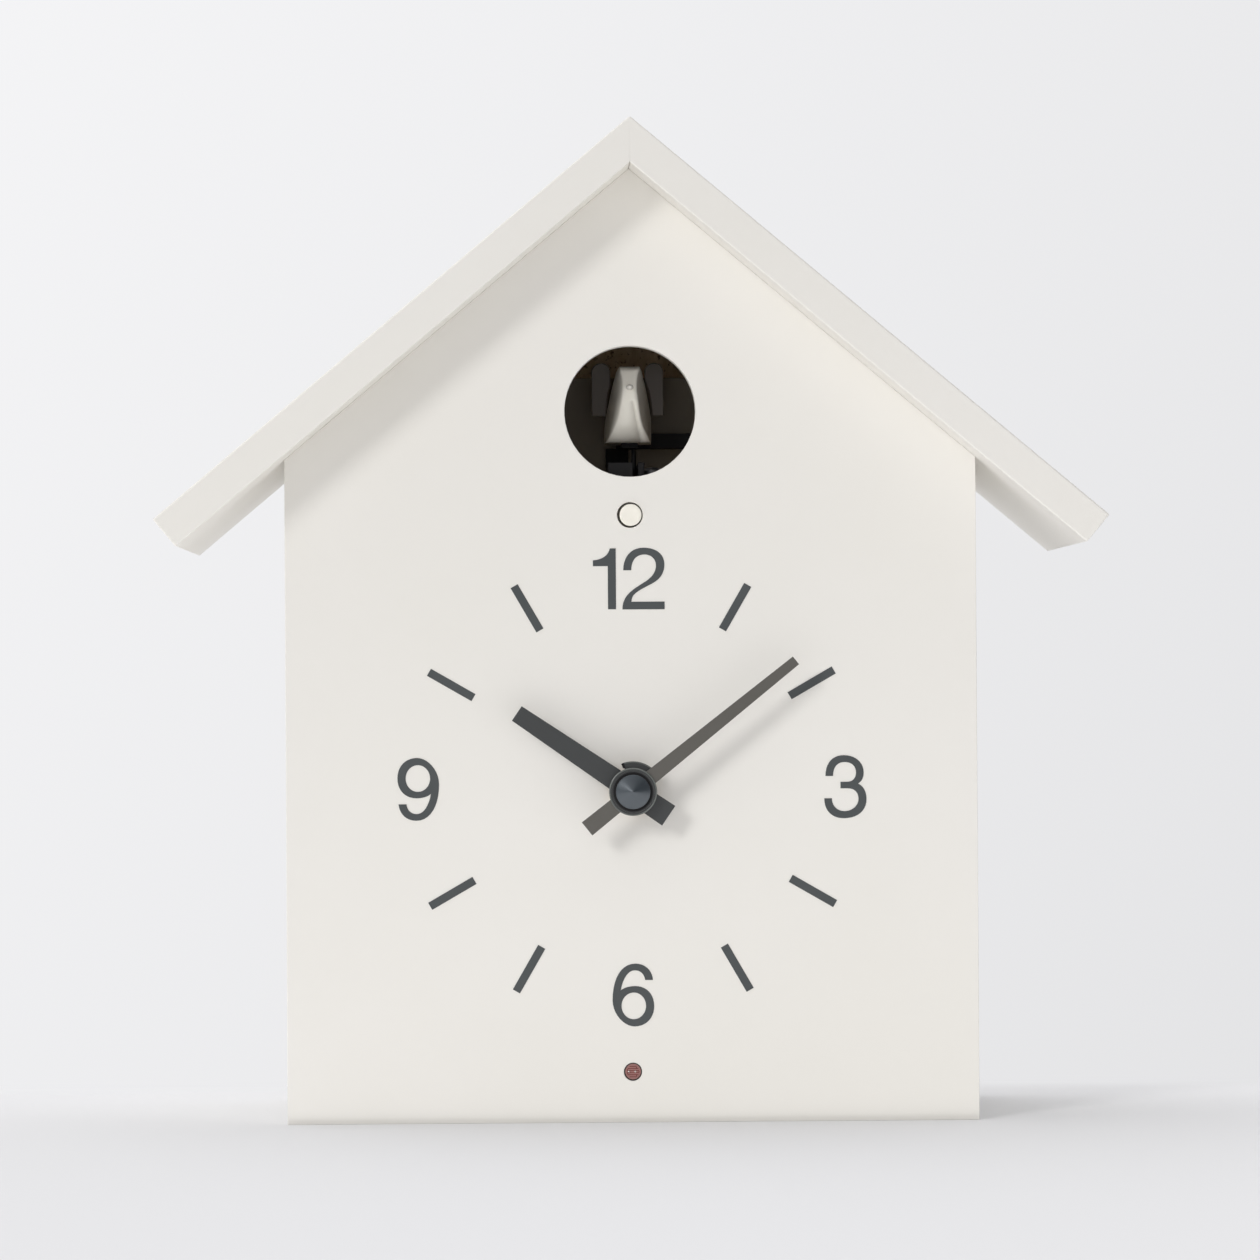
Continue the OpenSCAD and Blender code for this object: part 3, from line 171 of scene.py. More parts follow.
def make_lights():
    """Bright surroundings, one soft lamp from the upper left front and a weak one from below."""
    world = bpy.data.worlds.new("world")
    bpy.context.scene.world = world
    world.use_nodes = True
    tree = world.node_tree
    back = tree.nodes["Background"]
    back.inputs["Color"].default_value = SKY_TINT
    where = tree.nodes.new("ShaderNodeTexCoord").outputs["Generated"]
    split = tree.nodes.new("ShaderNodeSeparateXYZ")
    tree.links.new(where, split.inputs["Vector"])
    drop = tree.nodes.new("ShaderNodeMapRange")
    drop.interpolation_type = "SMOOTHSTEP"
    for socket, value in (("From Min", FRONT_FROM), ("From Max", FRONT_TO), ("To Min", -FRONT_DROP),
                          ("To Max", 0)):
        drop.inputs[socket].default_value = value
    tree.links.new(split.outputs["Y"], drop.inputs["Value"])

    def maths(operation, first, second):
        node = tree.nodes.new("ShaderNodeMath")
        node.operation = operation
        for socket, value in zip(node.inputs, (first, second)):
            if isinstance(value, (int, float)):
                socket.default_value = value
            else:
                tree.links.new(value, socket)
        return node.outputs["Value"]

    ahead = maths("MAXIMUM", maths("MULTIPLY", split.outputs["Y"], -1), 0)
    glow = maths("MULTIPLY", maths("POWER", ahead, FRONT_GLOW_POWER), FRONT_GLOW)
    above = maths("MAXIMUM", split.outputs["Z"], 0)
    overhead = maths("MULTIPLY", maths("POWER", above, TOP_GLOW_POWER), TOP_GLOW)
    even = maths("MAXIMUM", maths("ADD", sky_tone(tree, where), drop.outputs["Result"]), FRONT_LEAST)
    total = maths("ADD", even, maths("ADD", glow, overhead))
    tree.links.new(total, back.inputs["Strength"])
    data = bpy.data.lights.new("key", "SUN")
    data.energy = KEY_STRENGTH
    data.angle = KEY_ANGLE
    lamp = bpy.data.objects.new("key", data)
    lamp.rotation_mode = "QUATERNION"
    lamp.rotation_quaternion = KEY_FROM.to_track_quat("Z", "Y")
    bpy.context.collection.objects.link(lamp)
    data = bpy.data.lights.new("bounce", "AREA")
    data.shape = "RECTANGLE"
    data.size, data.size_y = BOUNCE_SIZE
    data.energy = BOUNCE_RADIANCE * math.pi * BOUNCE_SIZE[0] * BOUNCE_SIZE[1]
    lamp = bpy.data.objects.new("bounce", data)
    lamp.location = BOUNCE_AT
    lamp.rotation_euler = (math.pi, 0, 0)
    lamp.visible_camera = False
    bpy.context.collection.objects.link(lamp)
    bpy.context.scene.view_settings.view_transform = "Standard"


# ---------- material helpers ----------

def rgb(red, green, blue):
    """Linear colour of a screen colour given as 0 to 255."""
    def linear(v):
        v /= 255
        return v / 12.92 if v <= 0.04045 else ((v + 0.055) / 1.055) ** 2.4
    return (linear(red), linear(green), linear(blue), 1)


def new_material(name, colour, roughness=0.5, metallic=0.0, **sockets):
    """Principled material; the uniform values sit on the shader's own sockets."""
    mat = bpy.data.materials.new(name)
    mat.use_nodes = True
    shader = mat.node_tree.nodes["Principled BSDF"]
    shader.inputs["Base Color"].default_value = colour
    shader.inputs["Roughness"].default_value = roughness
    shader.inputs["Metallic"].default_value = metallic
    for key, value in sockets.items():
        shader.inputs[key.replace("_", " ")].default_value = value
    return mat, shader


def link(mat, source, target):
    mat.node_tree.links.new(source, target)


def coordinates(mat, stretch=(1, 1, 1)):
    """Object coordinates in metres, scaled along each axis."""
    nodes = mat.node_tree.nodes
    where = nodes.new("ShaderNodeTexCoord")
    mapping = nodes.new("ShaderNodeMapping")
    mapping.inputs["Scale"].default_value = stretch
    link(mat, where.outputs["Object"], mapping.inputs["Vector"])
    return mapping.outputs["Vector"]


def noise(mat, scale, detail=2, stretch=(1, 1, 1), roughness=0.5):
    node = mat.node_tree.nodes.new("ShaderNodeTexNoise")
    node.inputs["Scale"].default_value = scale
    node.inputs["Detail"].default_value = detail
    node.inputs["Roughness"].default_value = roughness
    link(mat, coordinates(mat, stretch), node.inputs["Vector"])
    return node.outputs["Fac"]


def ramp(mat, source, low, high, to_low=0.0, to_high=1.0):
    node = mat.node_tree.nodes.new("ShaderNodeMapRange")
    node.inputs["From Min"].default_value = low
    node.inputs["From Max"].default_value = high
    node.inputs["To Min"].default_value = to_low
    node.inputs["To Max"].default_value = to_high
    link(mat, source, node.inputs["Value"])
    return node.outputs["Result"]


def mixed(mat, factor, first, second):
    node = mat.node_tree.nodes.new("ShaderNodeMix")
    node.data_type = "RGBA"
    link(mat, factor, node.inputs["Factor"])
    for socket, value in ((node.inputs[6], first), (node.inputs[7], second)):
        if isinstance(value, tuple):
            socket.default_value = value
        else:
            link(mat, value, socket)
    return node.outputs[2]


def bump(mat, shader, height, depth_mm, strength=1.0):
    """Adds relief of the given depth to a material, on top of any it already has."""
    node = mat.node_tree.nodes.new("ShaderNodeBump")
    node.inputs["Strength"].default_value = strength
    node.inputs["Distance"].default_value = depth_mm * MM
    link(mat, height, node.inputs["Height"])
    under = shader.inputs["Normal"]
    if under.is_linked:
        link(mat, under.links[0].from_socket, node.inputs["Normal"])
    link(mat, node.outputs["Normal"], under)


def mottled(name, first, second, scale, rough, grain=None, **sockets):
    """Material with slow colour variation, varying gloss and an optional (scale, depth_mm) grain."""
    mat, shader = new_material(name, first, **sockets)
    cloud = noise(mat, scale, 3)
    link(mat, mixed(mat, ramp(mat, cloud, 0.3, 0.7), first, second), shader.inputs["Base Color"])
    link(mat, ramp(mat, cloud, 0.3, 0.7, rough[0], rough[1]), shader.inputs["Roughness"])
    if grain:
        bump(mat, shader, noise(mat, grain[0], 2), grain[1])
    return mat, shader


# ---------- materials ----------

def white_paint():
    mat, shader = mottled("white_paint", rgb(233, 230, 224), rgb(231, 228, 221), 14, (0.40, 0.47))
    bump(mat, shader, noise(mat, 1300, 2), 0.012)
    bump(mat, shader, noise(mat, 110, 1), 0.02)
    return mat


def raw_board():
    """Bare fibreboard: short pressed fibres and darker flecks."""
    mat, shader = new_material("raw_board", rgb(226, 201, 170), roughness=0.85)
    fibre = noise(mat, 500, 5, (1, 1, 0.35), 0.7)
    fleck = ramp(mat, noise(mat, 900, 2), 0.60, 0.72)
    base = mixed(mat, ramp(mat, fibre, 0.3, 0.7), rgb(214, 188, 154), rgb(234, 212, 184))
    link(mat, mixed(mat, fleck, base, rgb(160, 128, 96)), shader.inputs["Base Color"])
    bump(mat, shader, fibre, 0.08)
    return mat


def dial_ink():
    mat, _ = mottled("dial_ink", rgb(64, 68, 69), rgb(69, 73, 74), 90, (0.42, 0.52), (2600, 0.006))
    return mat


def hand_paint(name, first, second):
    mat, shader = mottled(name, first, second, 60, (0.30, 0.40), (2400, 0.006))
    shader.inputs["Coat Weight"].default_value = 0.25
    shader.inputs["Coat Roughness"].default_value = 0.22
    return mat


def moulded(name, first, second, rough=(0.38, 0.52), grain=(1800, 0.02)):
    return mottled(name, first, second, 40, rough, grain)[0]


def metal_shader(name, first, second, rough, stretch, scale):
    mat, shader = new_material(name, first, metallic=1.0)
    marks = noise(mat, scale, 4, stretch)
    link(mat, mixed(mat, ramp(mat, marks, 0.3, 0.7), first, second), shader.inputs["Base Color"])
    link(mat, ramp(mat, marks, 0.3, 0.7, rough[0], rough[1]), shader.inputs["Roughness"])
    bump(mat, shader, marks, 0.004)
    return mat, shader


def metal(name, first, second, rough=(0.22, 0.36), stretch=(1, 1, 1), scale=300):
    """Metal with fine drawn or turned marks along the stretched axis."""
    return metal_shader(name, first, second, rough, stretch, scale)[0]


def dull_black():
    mat, shader = mottled("drive_black", rgb(20, 19, 20), rgb(15, 14, 16), 40, (0.6, 0.7), (1800, 0.02))
    shader.inputs["Specular IOR Level"].default_value = 0.28
    return mat


def cap_metal():
    """Clear dark bluish lacquer over turned metal."""
    mat, shader = new_material("cap_metal", rgb(66, 73, 79), roughness=0.36, metallic=0.45)
    marks = noise(mat, 60, 2)
    tone = mixed(mat, ramp(mat, marks, 0.3, 0.7), rgb(66, 73, 79), rgb(62, 69, 75))
    link(mat, tone, shader.inputs["Base Color"])
    link(mat, ramp(mat, marks, 0.3, 0.7, 0.34, 0.38), shader.inputs["Roughness"])
    shader.inputs["Coat Weight"].default_value = 0.8
    shader.inputs["Coat Roughness"].default_value = 0.24
    return mat


def circuit_board():
    """Green solder mask with slightly lighter tracks in a grid and tinned pads."""
    mat, shader = new_material("circuit_board", rgb(20, 84, 52), roughness=0.3)
    grid = mat.node_tree.nodes.new("ShaderNodeTexBrick")
    grid.inputs["Scale"].default_value = 160
    grid.inputs["Mortar Size"].default_value = 0.06
    grid.inputs["Color1"].default_value = rgb(16, 74, 46)
    grid.inputs["Color2"].default_value = rgb(20, 86, 54)
    grid.inputs["Mortar"].default_value = rgb(40, 120, 78)
    turned = mat.node_tree.nodes.new("ShaderNodeMapping")
    turned.inputs["Rotation"].default_value = (math.radians(90), 0, 0)
    link(mat, coordinates(mat), turned.inputs["Vector"])
    link(mat, turned.outputs["Vector"], grid.inputs["Vector"])
    spots = mat.node_tree.nodes.new("ShaderNodeTexVoronoi")
    spots.inputs["Scale"].default_value = 330
    link(mat, coordinates(mat), spots.inputs["Vector"])
    pads = ramp(mat, spots.outputs["Distance"], 0.16, 0.12)
    link(mat, mixed(mat, pads, grid.outputs["Color"], rgb(190, 190, 184)), shader.inputs["Base Color"])
    return mat


def winding(name, first, second, turns_per_mm=3.2):
    """Enamelled wire wound in even turns along X."""
    mat, shader = new_material(name, first, metallic=1.0, roughness=0.3)
    wave = mat.node_tree.nodes.new("ShaderNodeTexWave")
    wave.bands_direction = "X"
    wave.inputs["Scale"].default_value = turns_per_mm / MM / (2 * math.pi) * math.pi / 10
    wave.inputs["Distortion"].default_value = 0.4
    link(mat, coordinates(mat), wave.inputs["Vector"])
    link(mat, mixed(mat, wave.outputs["Fac"], first, second), shader.inputs["Base Color"])
    bump(mat, shader, wave.outputs["Fac"], 0.06)
    return mat


def paper_cone():
    mat, shader = mottled("speaker_paper", rgb(44, 43, 42), rgb(58, 56, 54), 120, (0.8, 0.95))
    bump(mat, shader, noise(mat, 900, 5), 0.08)
    return mat


MATERIALS = {
    "white_paint": white_paint(),
    "raw_board": raw_board(),
    "plated_steel": metal("plated_steel", rgb(176, 178, 180), rgb(204, 205, 206), stretch=(1, 1, 6)),
    "dial_ink": dial_ink(),
    "pale_plastic": moulded("pale_plastic", rgb(226, 224, 218), rgb(222, 220, 213)),
    "black_plastic": moulded("black_plastic", rgb(34, 34, 36), rgb(28, 28, 30)),
    "nut_brass": metal("nut_brass", rgb(196, 160, 92), rgb(176, 140, 76)),
    "rubber": moulded("rubber", rgb(38, 38, 38), rgb(30, 30, 30), (0.7, 0.85), (1400, 0.03)),
    "coil_copper": winding("coil_copper", rgb(200, 112, 62), rgb(150, 74, 38)),
    "stator_iron": metal("stator_iron", rgb(168, 170, 174), rgb(196, 198, 200), stretch=(6, 1, 1)),
    "magnet": metal("magnet", rgb(84, 84, 86), rgb(70, 70, 72), (0.45, 0.6)),
    "circuit_board": circuit_board(),
    "board_black": moulded("board_black", rgb(30, 30, 32), rgb(24, 24, 26), (0.45, 0.6)),
    "hand_black": hand_paint("hand_black", rgb(50, 52, 52), rgb(46, 48, 48)),
    "minute_grey": hand_paint("minute_grey", rgb(88, 85, 79), rgb(82, 79, 73)),
    "cap_metal": cap_metal(),
    # Light grey for the painted highlight rings on the boss's rim and the collar's edge
    "painted_highlight_grey": hand_paint("painted_highlight_grey", rgb(98, 102, 98), rgb(90, 94, 90)),
    "gear_plastic": moulded("gear_plastic", rgb(222, 218, 204), rgb(214, 210, 196)),
    "dark_plastic": moulded("dark_plastic", rgb(66, 64, 60), rgb(58, 56, 53), (0.5, 0.65)),
    "drive_black": dull_black(),
    "dull_steel": metal("dull_steel", rgb(96, 96, 98), rgb(84, 84, 86), (0.45, 0.55)),
    "screen_grey": moulded("screen_grey", rgb(142, 134, 121), rgb(134, 126, 113), (0.7, 0.8)),
    "wing_grey": moulded("wing_grey", rgb(98, 90, 84), rgb(90, 84, 78), (0.5, 0.65)),
    "bird_white": moulded("bird_white", rgb(246, 242, 231), rgb(238, 234, 221), (0.32, 0.42), (1500, 0.01)),
    "beak_cream": moulded("beak_cream", rgb(250, 247, 240), rgb(246, 242, 233), (0.16, 0.22)),
    "motor_can": metal("motor_can", rgb(170, 172, 174), rgb(190, 192, 194), stretch=(1, 1, 0.1)),
    "sensor_face": moulded("sensor_face", rgb(158, 112, 106), rgb(150, 104, 98), (0.3, 0.4), (2400, 0.01)),
    "sensor_red": moulded("sensor_red", rgb(112, 44, 40), rgb(104, 38, 34), (0.3, 0.4), (2400, 0.01)),
    "sensor_tin": metal("sensor_tin", rgb(226, 224, 220), rgb(214, 212, 208), (0.25, 0.35)),
    "speaker_paper": paper_cone(),
    "cell_jacket": moulded("cell_jacket", rgb(70, 78, 84), rgb(62, 70, 76), (0.2, 0.3), (600, 0.01)),
    "contact_nickel": metal("contact_nickel", rgb(200, 198, 190), rgb(216, 214, 206)),
    "lead_red": moulded("lead_red", rgb(168, 34, 28), rgb(150, 28, 24), (0.35, 0.45), (900, 0.01)),
}


# ---------- mesh helpers ----------

SMOOTH_ANGLE = math.radians(28)


def add_object(name, mesh, slot, body, *replaced):
    obj = bpy.data.objects.new(name, mesh)
    bpy.context.collection.objects.link(obj)
    if not mesh.materials:
        mesh.materials.append(MATERIALS[slot])
    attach(obj, body)
    if replaced:
        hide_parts(*replaced)
    return obj


def finished_mesh(name, bm):
    mesh = bpy.data.meshes.new(name)
    bm.to_mesh(mesh)
    bm.free()
    return mesh


def edge_angle(edge):
    return edge.calc_face_angle(0) if len(edge.link_faces) == 2 else math.pi


def sharp_edges(bm, angle=SMOOTH_ANGLE):
    return [e for e in bm.edges if len(e.link_faces) == 2 and edge_angle(e) > angle]


def set_smooth(bm):
    """Curved faces are shaded smooth. Flat faces that end in corners all round stay flat."""
    for face in bm.faces:
        angles = [edge_angle(e) for e in face.edges]
        face.smooth = any(math.radians(1) < a < SMOOTH_ANGLE for a in angles)


def plane_of(face):
    """Direction of a face and its distance from the origin, rounded so that they can be compared."""
    return (*(round(v, 3) for v in face.normal), round(face.normal.dot(face.verts[0].co) / MM, 2))


def rounded_copy(node, radius_mm, segments=2, material=None, second=None, second_faces=None,
                 square=None):
    """Finished copy of a CAD node: clean flat faces, rounded edges, and optionally a second
    material on the faces that second_faces picks. Edges that square picks stay square."""
    bm = bmesh.new()
    bm.from_mesh(NODES[node].data)
    bmesh.ops.remove_doubles(bm, verts=bm.verts, dist=0.001 * MM)
    bmesh.ops.dissolve_limit(bm, angle_limit=math.radians(0.4), verts=bm.verts, edges=bm.edges)
    set_smooth(bm)
    if second_faces:
        for face in bm.faces:
            face.material_index = 1 if second_faces(face) else 0
    flats = {plane_of(face) for face in bm.faces if not face.smooth}
    corners = sharp_edges(bm)
    if square:
        corners = [e for e in corners if not square(e)]
    if radius_mm:
        made = bmesh.ops.bevel(bm, geom=corners, offset=radius_mm * MM, segments=segments,
                               profile=0.5, affect="EDGES", clamp_overlap=True, offset_type="OFFSET")
        for face in made["faces"]:
            face.smooth = plane_of(face) not in flats
    for edge in sharp_edges(bm):
        edge.smooth = False
    mesh = finished_mesh(node + "_finished", bm)
    mesh.materials.append(MATERIALS[material or SLOT_OF[node]])
    if second:
        mesh.materials.append(MATERIALS[second])
    return add_object(node + "_finished", mesh, SLOT_OF[node], BODY_OF[node], node)


def lathe_y(name, profile, centre, slot, body, *replaced, steps=128, start=0, end=360, material=None):
    """Turned piece: profile is a list of (radius, y) in metres, turned about a Y axis through
    centre (x, z) from start to end, in degrees clockwise from the top. A profile that starts or
    ends at radius 0 closes on the axis."""
    bm = bmesh.new()
    rings = []
    whole = end - start >= 360
    gaps = steps if whole else steps - 1
    turns = [math.radians(start + (end - start) * i / gaps) for i in range(steps)]
    for radius, y in profile:
        if radius < 1e-7:
            rings.append([bm.verts.new((centre[0], y, centre[1]))])
        else:
            rings.append([bm.verts.new((centre[0] + radius * math.sin(a), y,
                                        centre[1] + radius * math.cos(a))) for a in turns])
    for inner, outer in zip(rings, rings[1:]):
        for i in range(gaps):
            j = (i + 1) % steps
            corners = [inner[i % len(inner)], inner[j % len(inner)], outer[j % len(outer)],
                       outer[i % len(outer)]]
            unique = list(dict.fromkeys(corners))
            if len(unique) > 2:
                bm.faces.new(unique)
    bmesh.ops.recalc_face_normals(bm, faces=bm.faces)
    for face in bm.faces:
        face.smooth = True
    for edge in sharp_edges(bm):
        edge.smooth = False
    if not whole:
        for i in (0, -1):
            bm.faces.new([ring[i] for ring in rings])
        bmesh.ops.recalc_face_normals(bm, faces=bm.faces)
    mesh = finished_mesh(name, bm)
    if material:
        mesh.materials.append(MATERIALS[material])
    return add_object(name, mesh, slot, body, *replaced)


def arc(centre_r, centre_y, radius, start, end, steps=6):
    """Points of a rounded corner in a lathe profile, angles in degrees from the radius axis."""
    turns = [math.radians(start + (end - start) * i / steps) for i in range(steps + 1)]
    return [(centre_r + radius * math.cos(a), centre_y + radius * math.sin(a)) for a in turns]


# ---------- case ----------

def make_case():
    """Painted boards. Inside faces stay bare fibreboard."""
    inside = {
        "front_panel": lambda f: f.normal.y > 0.9,
        "back_panel": lambda f: f.normal.y < -0.9,
        "left_wall": lambda f: f.normal.x > 0.9,
        "right_wall": lambda f: f.normal.x < -0.9,
        "base_board": lambda f: f.normal.z > 0.9,
        "back_rails": lambda f: f.normal.y < -0.9,
    }
    for node, faces in inside.items():
        rounded_copy(node, 0.35, 3, second="raw_board", second_faces=faces)
    # The mitre under the ridge is filled and painted over, so its edges don't show
    mitre = lambda edge: all(abs(v.co.x) < 0.01 * MM for v in edge.verts) and (
        edge.verts[0].co.z != edge.verts[1].co.z)
    for node in ("roof_left", "roof_right"):
        rounded_copy(node, 0.45, 3, square=mitre)
    for node in ("corner_blocks", "hanger_batten", "cuckoo_shelf"):
        rounded_copy(node, 0.3, 1)
    for node in ("door_frame", "access_door"):
        rounded_copy(node, 0.25, 2)
    for node in ("back_screws", "hanger_screws", "hanger_plate"):
        rounded_copy(node, 0.12, 2)
    NODES["dial_print"].data.materials.clear()
    NODES["dial_print"].data.materials.append(MATERIALS["dial_ink"])


# ---------- movement and hands ----------

def make_movement():
    for node in ("movement_case", "movement_cover", "movement_board"):
        rounded_copy(node, 0.2)
    for node in ("movement_nut", "movement_washer", "setting_knob"):
        rounded_copy(node, 0.15)
    for node in ("coil", "stator", "rotor", "hour_wheel", "motion_wheel", "setting_shaft", "minute_arbor"):
        rounded_copy(node, 0)


def tapered_plate(bm, axis, angle, near, far, near_w, far_w, low_y, high_y):
    """Adds a flat arm of a hand: from near to far along angle (degrees clockwise from the top)."""
    a = math.radians(angle)
    along, across = (math.sin(a), math.cos(a)), (math.cos(a), -math.sin(a))
    corners = [(near, -near_w / 2), (near, near_w / 2), (far, far_w / 2), (far, -far_w / 2)]
    made = [[bm.verts.new((axis[0] + (r * along[0] + w * across[0]) * MM, y,
                           axis[1] + (r * along[1] + w * across[1]) * MM)) for r, w in corners]
            for y in (low_y, high_y)]
    bm.faces.new(made[0])
    bm.faces.new(made[1][::-1])
    for i in range(4):
        j = (i + 1) % 4
        bm.faces.new((made[0][j], made[0][i], made[1][i], made[1][j]))


# Hour hand, in mm: reach and tail from the axis, and the widths at their ends
HOUR_REACH, HOUR_TAIL, HOUR_TIP_W, HOUR_TAIL_W = 37.5, 11.6, 4.7, 6.4
# Degrees clockwise from the top
HOUR_ANGLE = 304.3
COLLAR_START, COLLAR_END = -20, 41
# In mm: the arms start inside the boss; radii of the boss, its bore and the collar; the plate's
# distance behind the boss's front; its thickness
HOUR_ARM_START, HOUR_BOSS_R, HOUR_BORE_R, COLLAR_R = 4.2, 5, 3.92, 8.1
HOUR_PLATE_BACK, HOUR_PLATE_T = 0.8, 0.8


def make_hour_hand():
    """Hour hand as clean plates round its boss, with a collar tab toward the top."""
    pos = JOINTS["hour_spin"]["pos_m"]
    axis = (pos[0], pos[2])
    lo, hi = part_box("hour_hand")
    front = lo.y + HOUR_PLATE_BACK * MM
    back = front + HOUR_PLATE_T * MM

    def width(r):
        return HOUR_TIP_W + (HOUR_TAIL_W - HOUR_TIP_W) * (HOUR_REACH - r) / (HOUR_REACH + HOUR_TAIL)

    bm = bmesh.new()
    for start, end, end_w in ((HOUR_ARM_START, HOUR_REACH, HOUR_TIP_W),
                              (-HOUR_ARM_START, -HOUR_TAIL, HOUR_TAIL_W)):
        tapered_plate(bm, axis, HOUR_ANGLE, start, end, width(start), end_w, front, back)
    bmesh.ops.recalc_face_normals(bm, faces=bm.faces)
    flats = {plane_of(face) for face in bm.faces}
    made = bmesh.ops.bevel(bm, geom=list(bm.edges), offset=0.14 * MM, segments=3, profile=0.5,
                           affect="EDGES", clamp_overlap=True, offset_type="OFFSET")
    for face in made["faces"]:
        face.smooth = plane_of(face) not in flats
    mesh = finished_mesh("hour_plates", bm)
    slot, body = SLOT_OF["hour_hand"], BODY_OF["hour_hand"]
    add_object("hour_plates", mesh, slot, body, "hour_hand")
    bore, rim, edge = HOUR_BORE_R * MM, HOUR_BOSS_R * MM, 0.15 * MM
    boss = [(bore, lo.y), (rim - edge, lo.y), (rim, lo.y + edge), (rim, hi.y), (bore, hi.y)]
    lathe_y("hour_boss", boss + boss[:1], axis, slot, body, "hour_hand")
    inner, outer, edge = 4.6 * MM, COLLAR_R * MM, 0.1 * MM
    collar = [(inner, front), (outer - edge, front), (outer, front + edge), (outer, back), (inner, back)]
    lathe_y("hour_collar", collar + collar[:1], axis, slot, body, "hour_hand", steps=40,
            start=COLLAR_START, end=COLLAR_END)


def make_hands():
    """Both hands, the painted highlight and painted shade rings on the boss and the collar, and the turned
    cap.
    """
    make_hour_hand()
    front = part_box("minute_hand")[0].y
    rounded_copy("minute_hand", 0.12, 2, material="minute_grey", second="hand_black",
                 second_faces=lambda f: f.calc_center_median().y < front + 0.5 * MM)
    axis = JOINTS["minute_spin"]["pos_m"]
    centre = (axis[0], axis[2])
    # Profiles of the painted highlight ring on the boss's rim and the painted shade ring in its groove, as
    # radius and y from its front, in mm
    rim = [(6.05, 0.02), (6.12, -0.09), (6.25, -0.12), (6.38, -0.08), (6.43, 0.05), (6.43, 0.5),
           (6.05, 0.5)]
    lathe_y("painted_highlight_boss_rim", [(r * MM, front + y * MM) for r, y in rim + rim[:1]], centre,
            SLOT_OF["minute_hand"], BODY_OF["minute_hand"], "minute_hand", material="painted_highlight_grey")
    # The dark ring laid in the groove is painted shade
    groove = [(4.62, 0.1), (4.62, -0.03), (5.25, -0.03), (5.25, 0.1)]
    lathe_y("painted_shade_boss_groove", [(r * MM, front + y * MM) for r, y in groove + groove[:1]], centre,
            SLOT_OF["minute_hand"], BODY_OF["minute_hand"], "minute_hand", material="drive_black")
    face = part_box("hour_hand")[0].y + HOUR_PLATE_BACK * MM
    # Painted highlight along the collar's outer edge, and painted shade where the gap at the collar's left
    # end is dark
    for name, first, last, inner, outer, material in (
            ("painted_highlight_collar_rim", -17, COLLAR_END, 7.72, 8.13, "painted_highlight_grey"),
            ("painted_shade_collar_end", -22.5, -17.2, 6.7, 8.05, "drive_black")):
        ring = [(inner, 0.1), (inner, -0.08), (inner + 0.1, -0.14), (outer - 0.1, -0.14), (outer, -0.06),
                (outer, 0.1)]
        lathe_y(name, [(r * MM, face + y * MM) for r, y in ring + ring[:1]], centre, SLOT_OF["hour_hand"],
                BODY_OF["hour_hand"], "hour_hand", steps=24, start=first, end=last, material=material)
    lo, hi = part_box("hand_cap")
    rim = (hi.x - lo.x) / 2
    height = hi.y - lo.y
    tip = 0.35 * MM
    profile = [(0, lo.y + 0.03 * MM), *arc(0, lo.y + tip * 1.1, tip, -90, -52, 4),
               *arc(rim - 0.25 * MM, hi.y - 0.85 * MM, 0.25 * MM, -60, 0, 4), (rim, hi.y),
               (rim - 1.2 * MM, hi.y), (rim - 1.2 * MM, hi.y - height * 0.1), (0, hi.y - height * 0.1)]
    lathe_y("hand_cap_turned", profile, centre, "cap_metal", BODY_OF["hand_cap"], "hand_cap")


# ---------- bird and its drive ----------

# Each level, in mm: share of the height, middle and half width of the flat strip down the breast,
# half width of the body, front and back
BIRD_LEVELS = [
    (0.00, 0.02, 6.05, 6.40, 5.6, 22.4), (0.04, 0.05, 5.45, 6.50, 4.2, 22.5),
    (0.11, 0.08, 4.60, 6.50, 2.8, 22.5), (0.20, 0.10, 3.70, 6.45, 1.6, 22.4),
    (0.31, 0.22, 2.95, 6.35, 0.8, 22.0), (0.42, 0.28, 2.50, 6.00, 0.3, 21.2),
    (0.54, 0.33, 2.10, 5.50, 0.0, 19.4), (0.68, 0.32, 1.80, 4.90, 0.1, 17.2),
    (0.80, 0.32, 1.82, 4.30, 0.4, 14.9), (0.90, 0.34, 2.20, 3.75, 0.8, 13.4),
    (0.96, 0.38, 2.60, 3.40, 1.3, 12.8), (1.00, 0.40, 2.60, 2.90, 2.5, 11.8),
]
# The crease runs down the right of the strip, from (share, x) to (share, x)
CREASE = ((0.55, 1.15), (0.0, 3.35))
CREASE_DEPTH_MM = 0.7
# How steeply each flank leaves the strip
LEFT_SLOPE, RIGHT_SLOPE = 0.8, 3.2
BIRD_ROWS = 61
# Places across a flank, from the back to the strip
FLANK_TURNS = (1.0, 0.94, 0.87, 0.79, 0.7, 0.6, 0.5, 0.4, 0.3, 0.2, 0.13, 0.07)


def blend(levels, share):
    """Values at a height, on a smooth curve through the levels."""
    i = max(k for k in range(len(levels) - 1) if levels[k][0] <= share or k == 0)
    a, b, c, d = (levels[max(0, min(len(levels) - 1, k))] for k in (i - 1, i, i + 1, i + 2))
    t = (share - b[0]) / (c[0] - b[0])

    def slope(before, after, key):
        return (after[key] - before[key]) / (after[0] - before[0]) * (c[0] - b[0])

    def value(key):
        m0, m1 = slope(a, c, key), slope(b, d, key)
        return ((2 * t**3 - 3 * t**2 + 1) * b[key] + (t**3 - 2 * t**2 + t) * m0
                + (3 * t**2 - 2 * t**3) * c[key] + (t**3 - t**2) * m1)
    return [value(key) for key in range(1, len(b))]


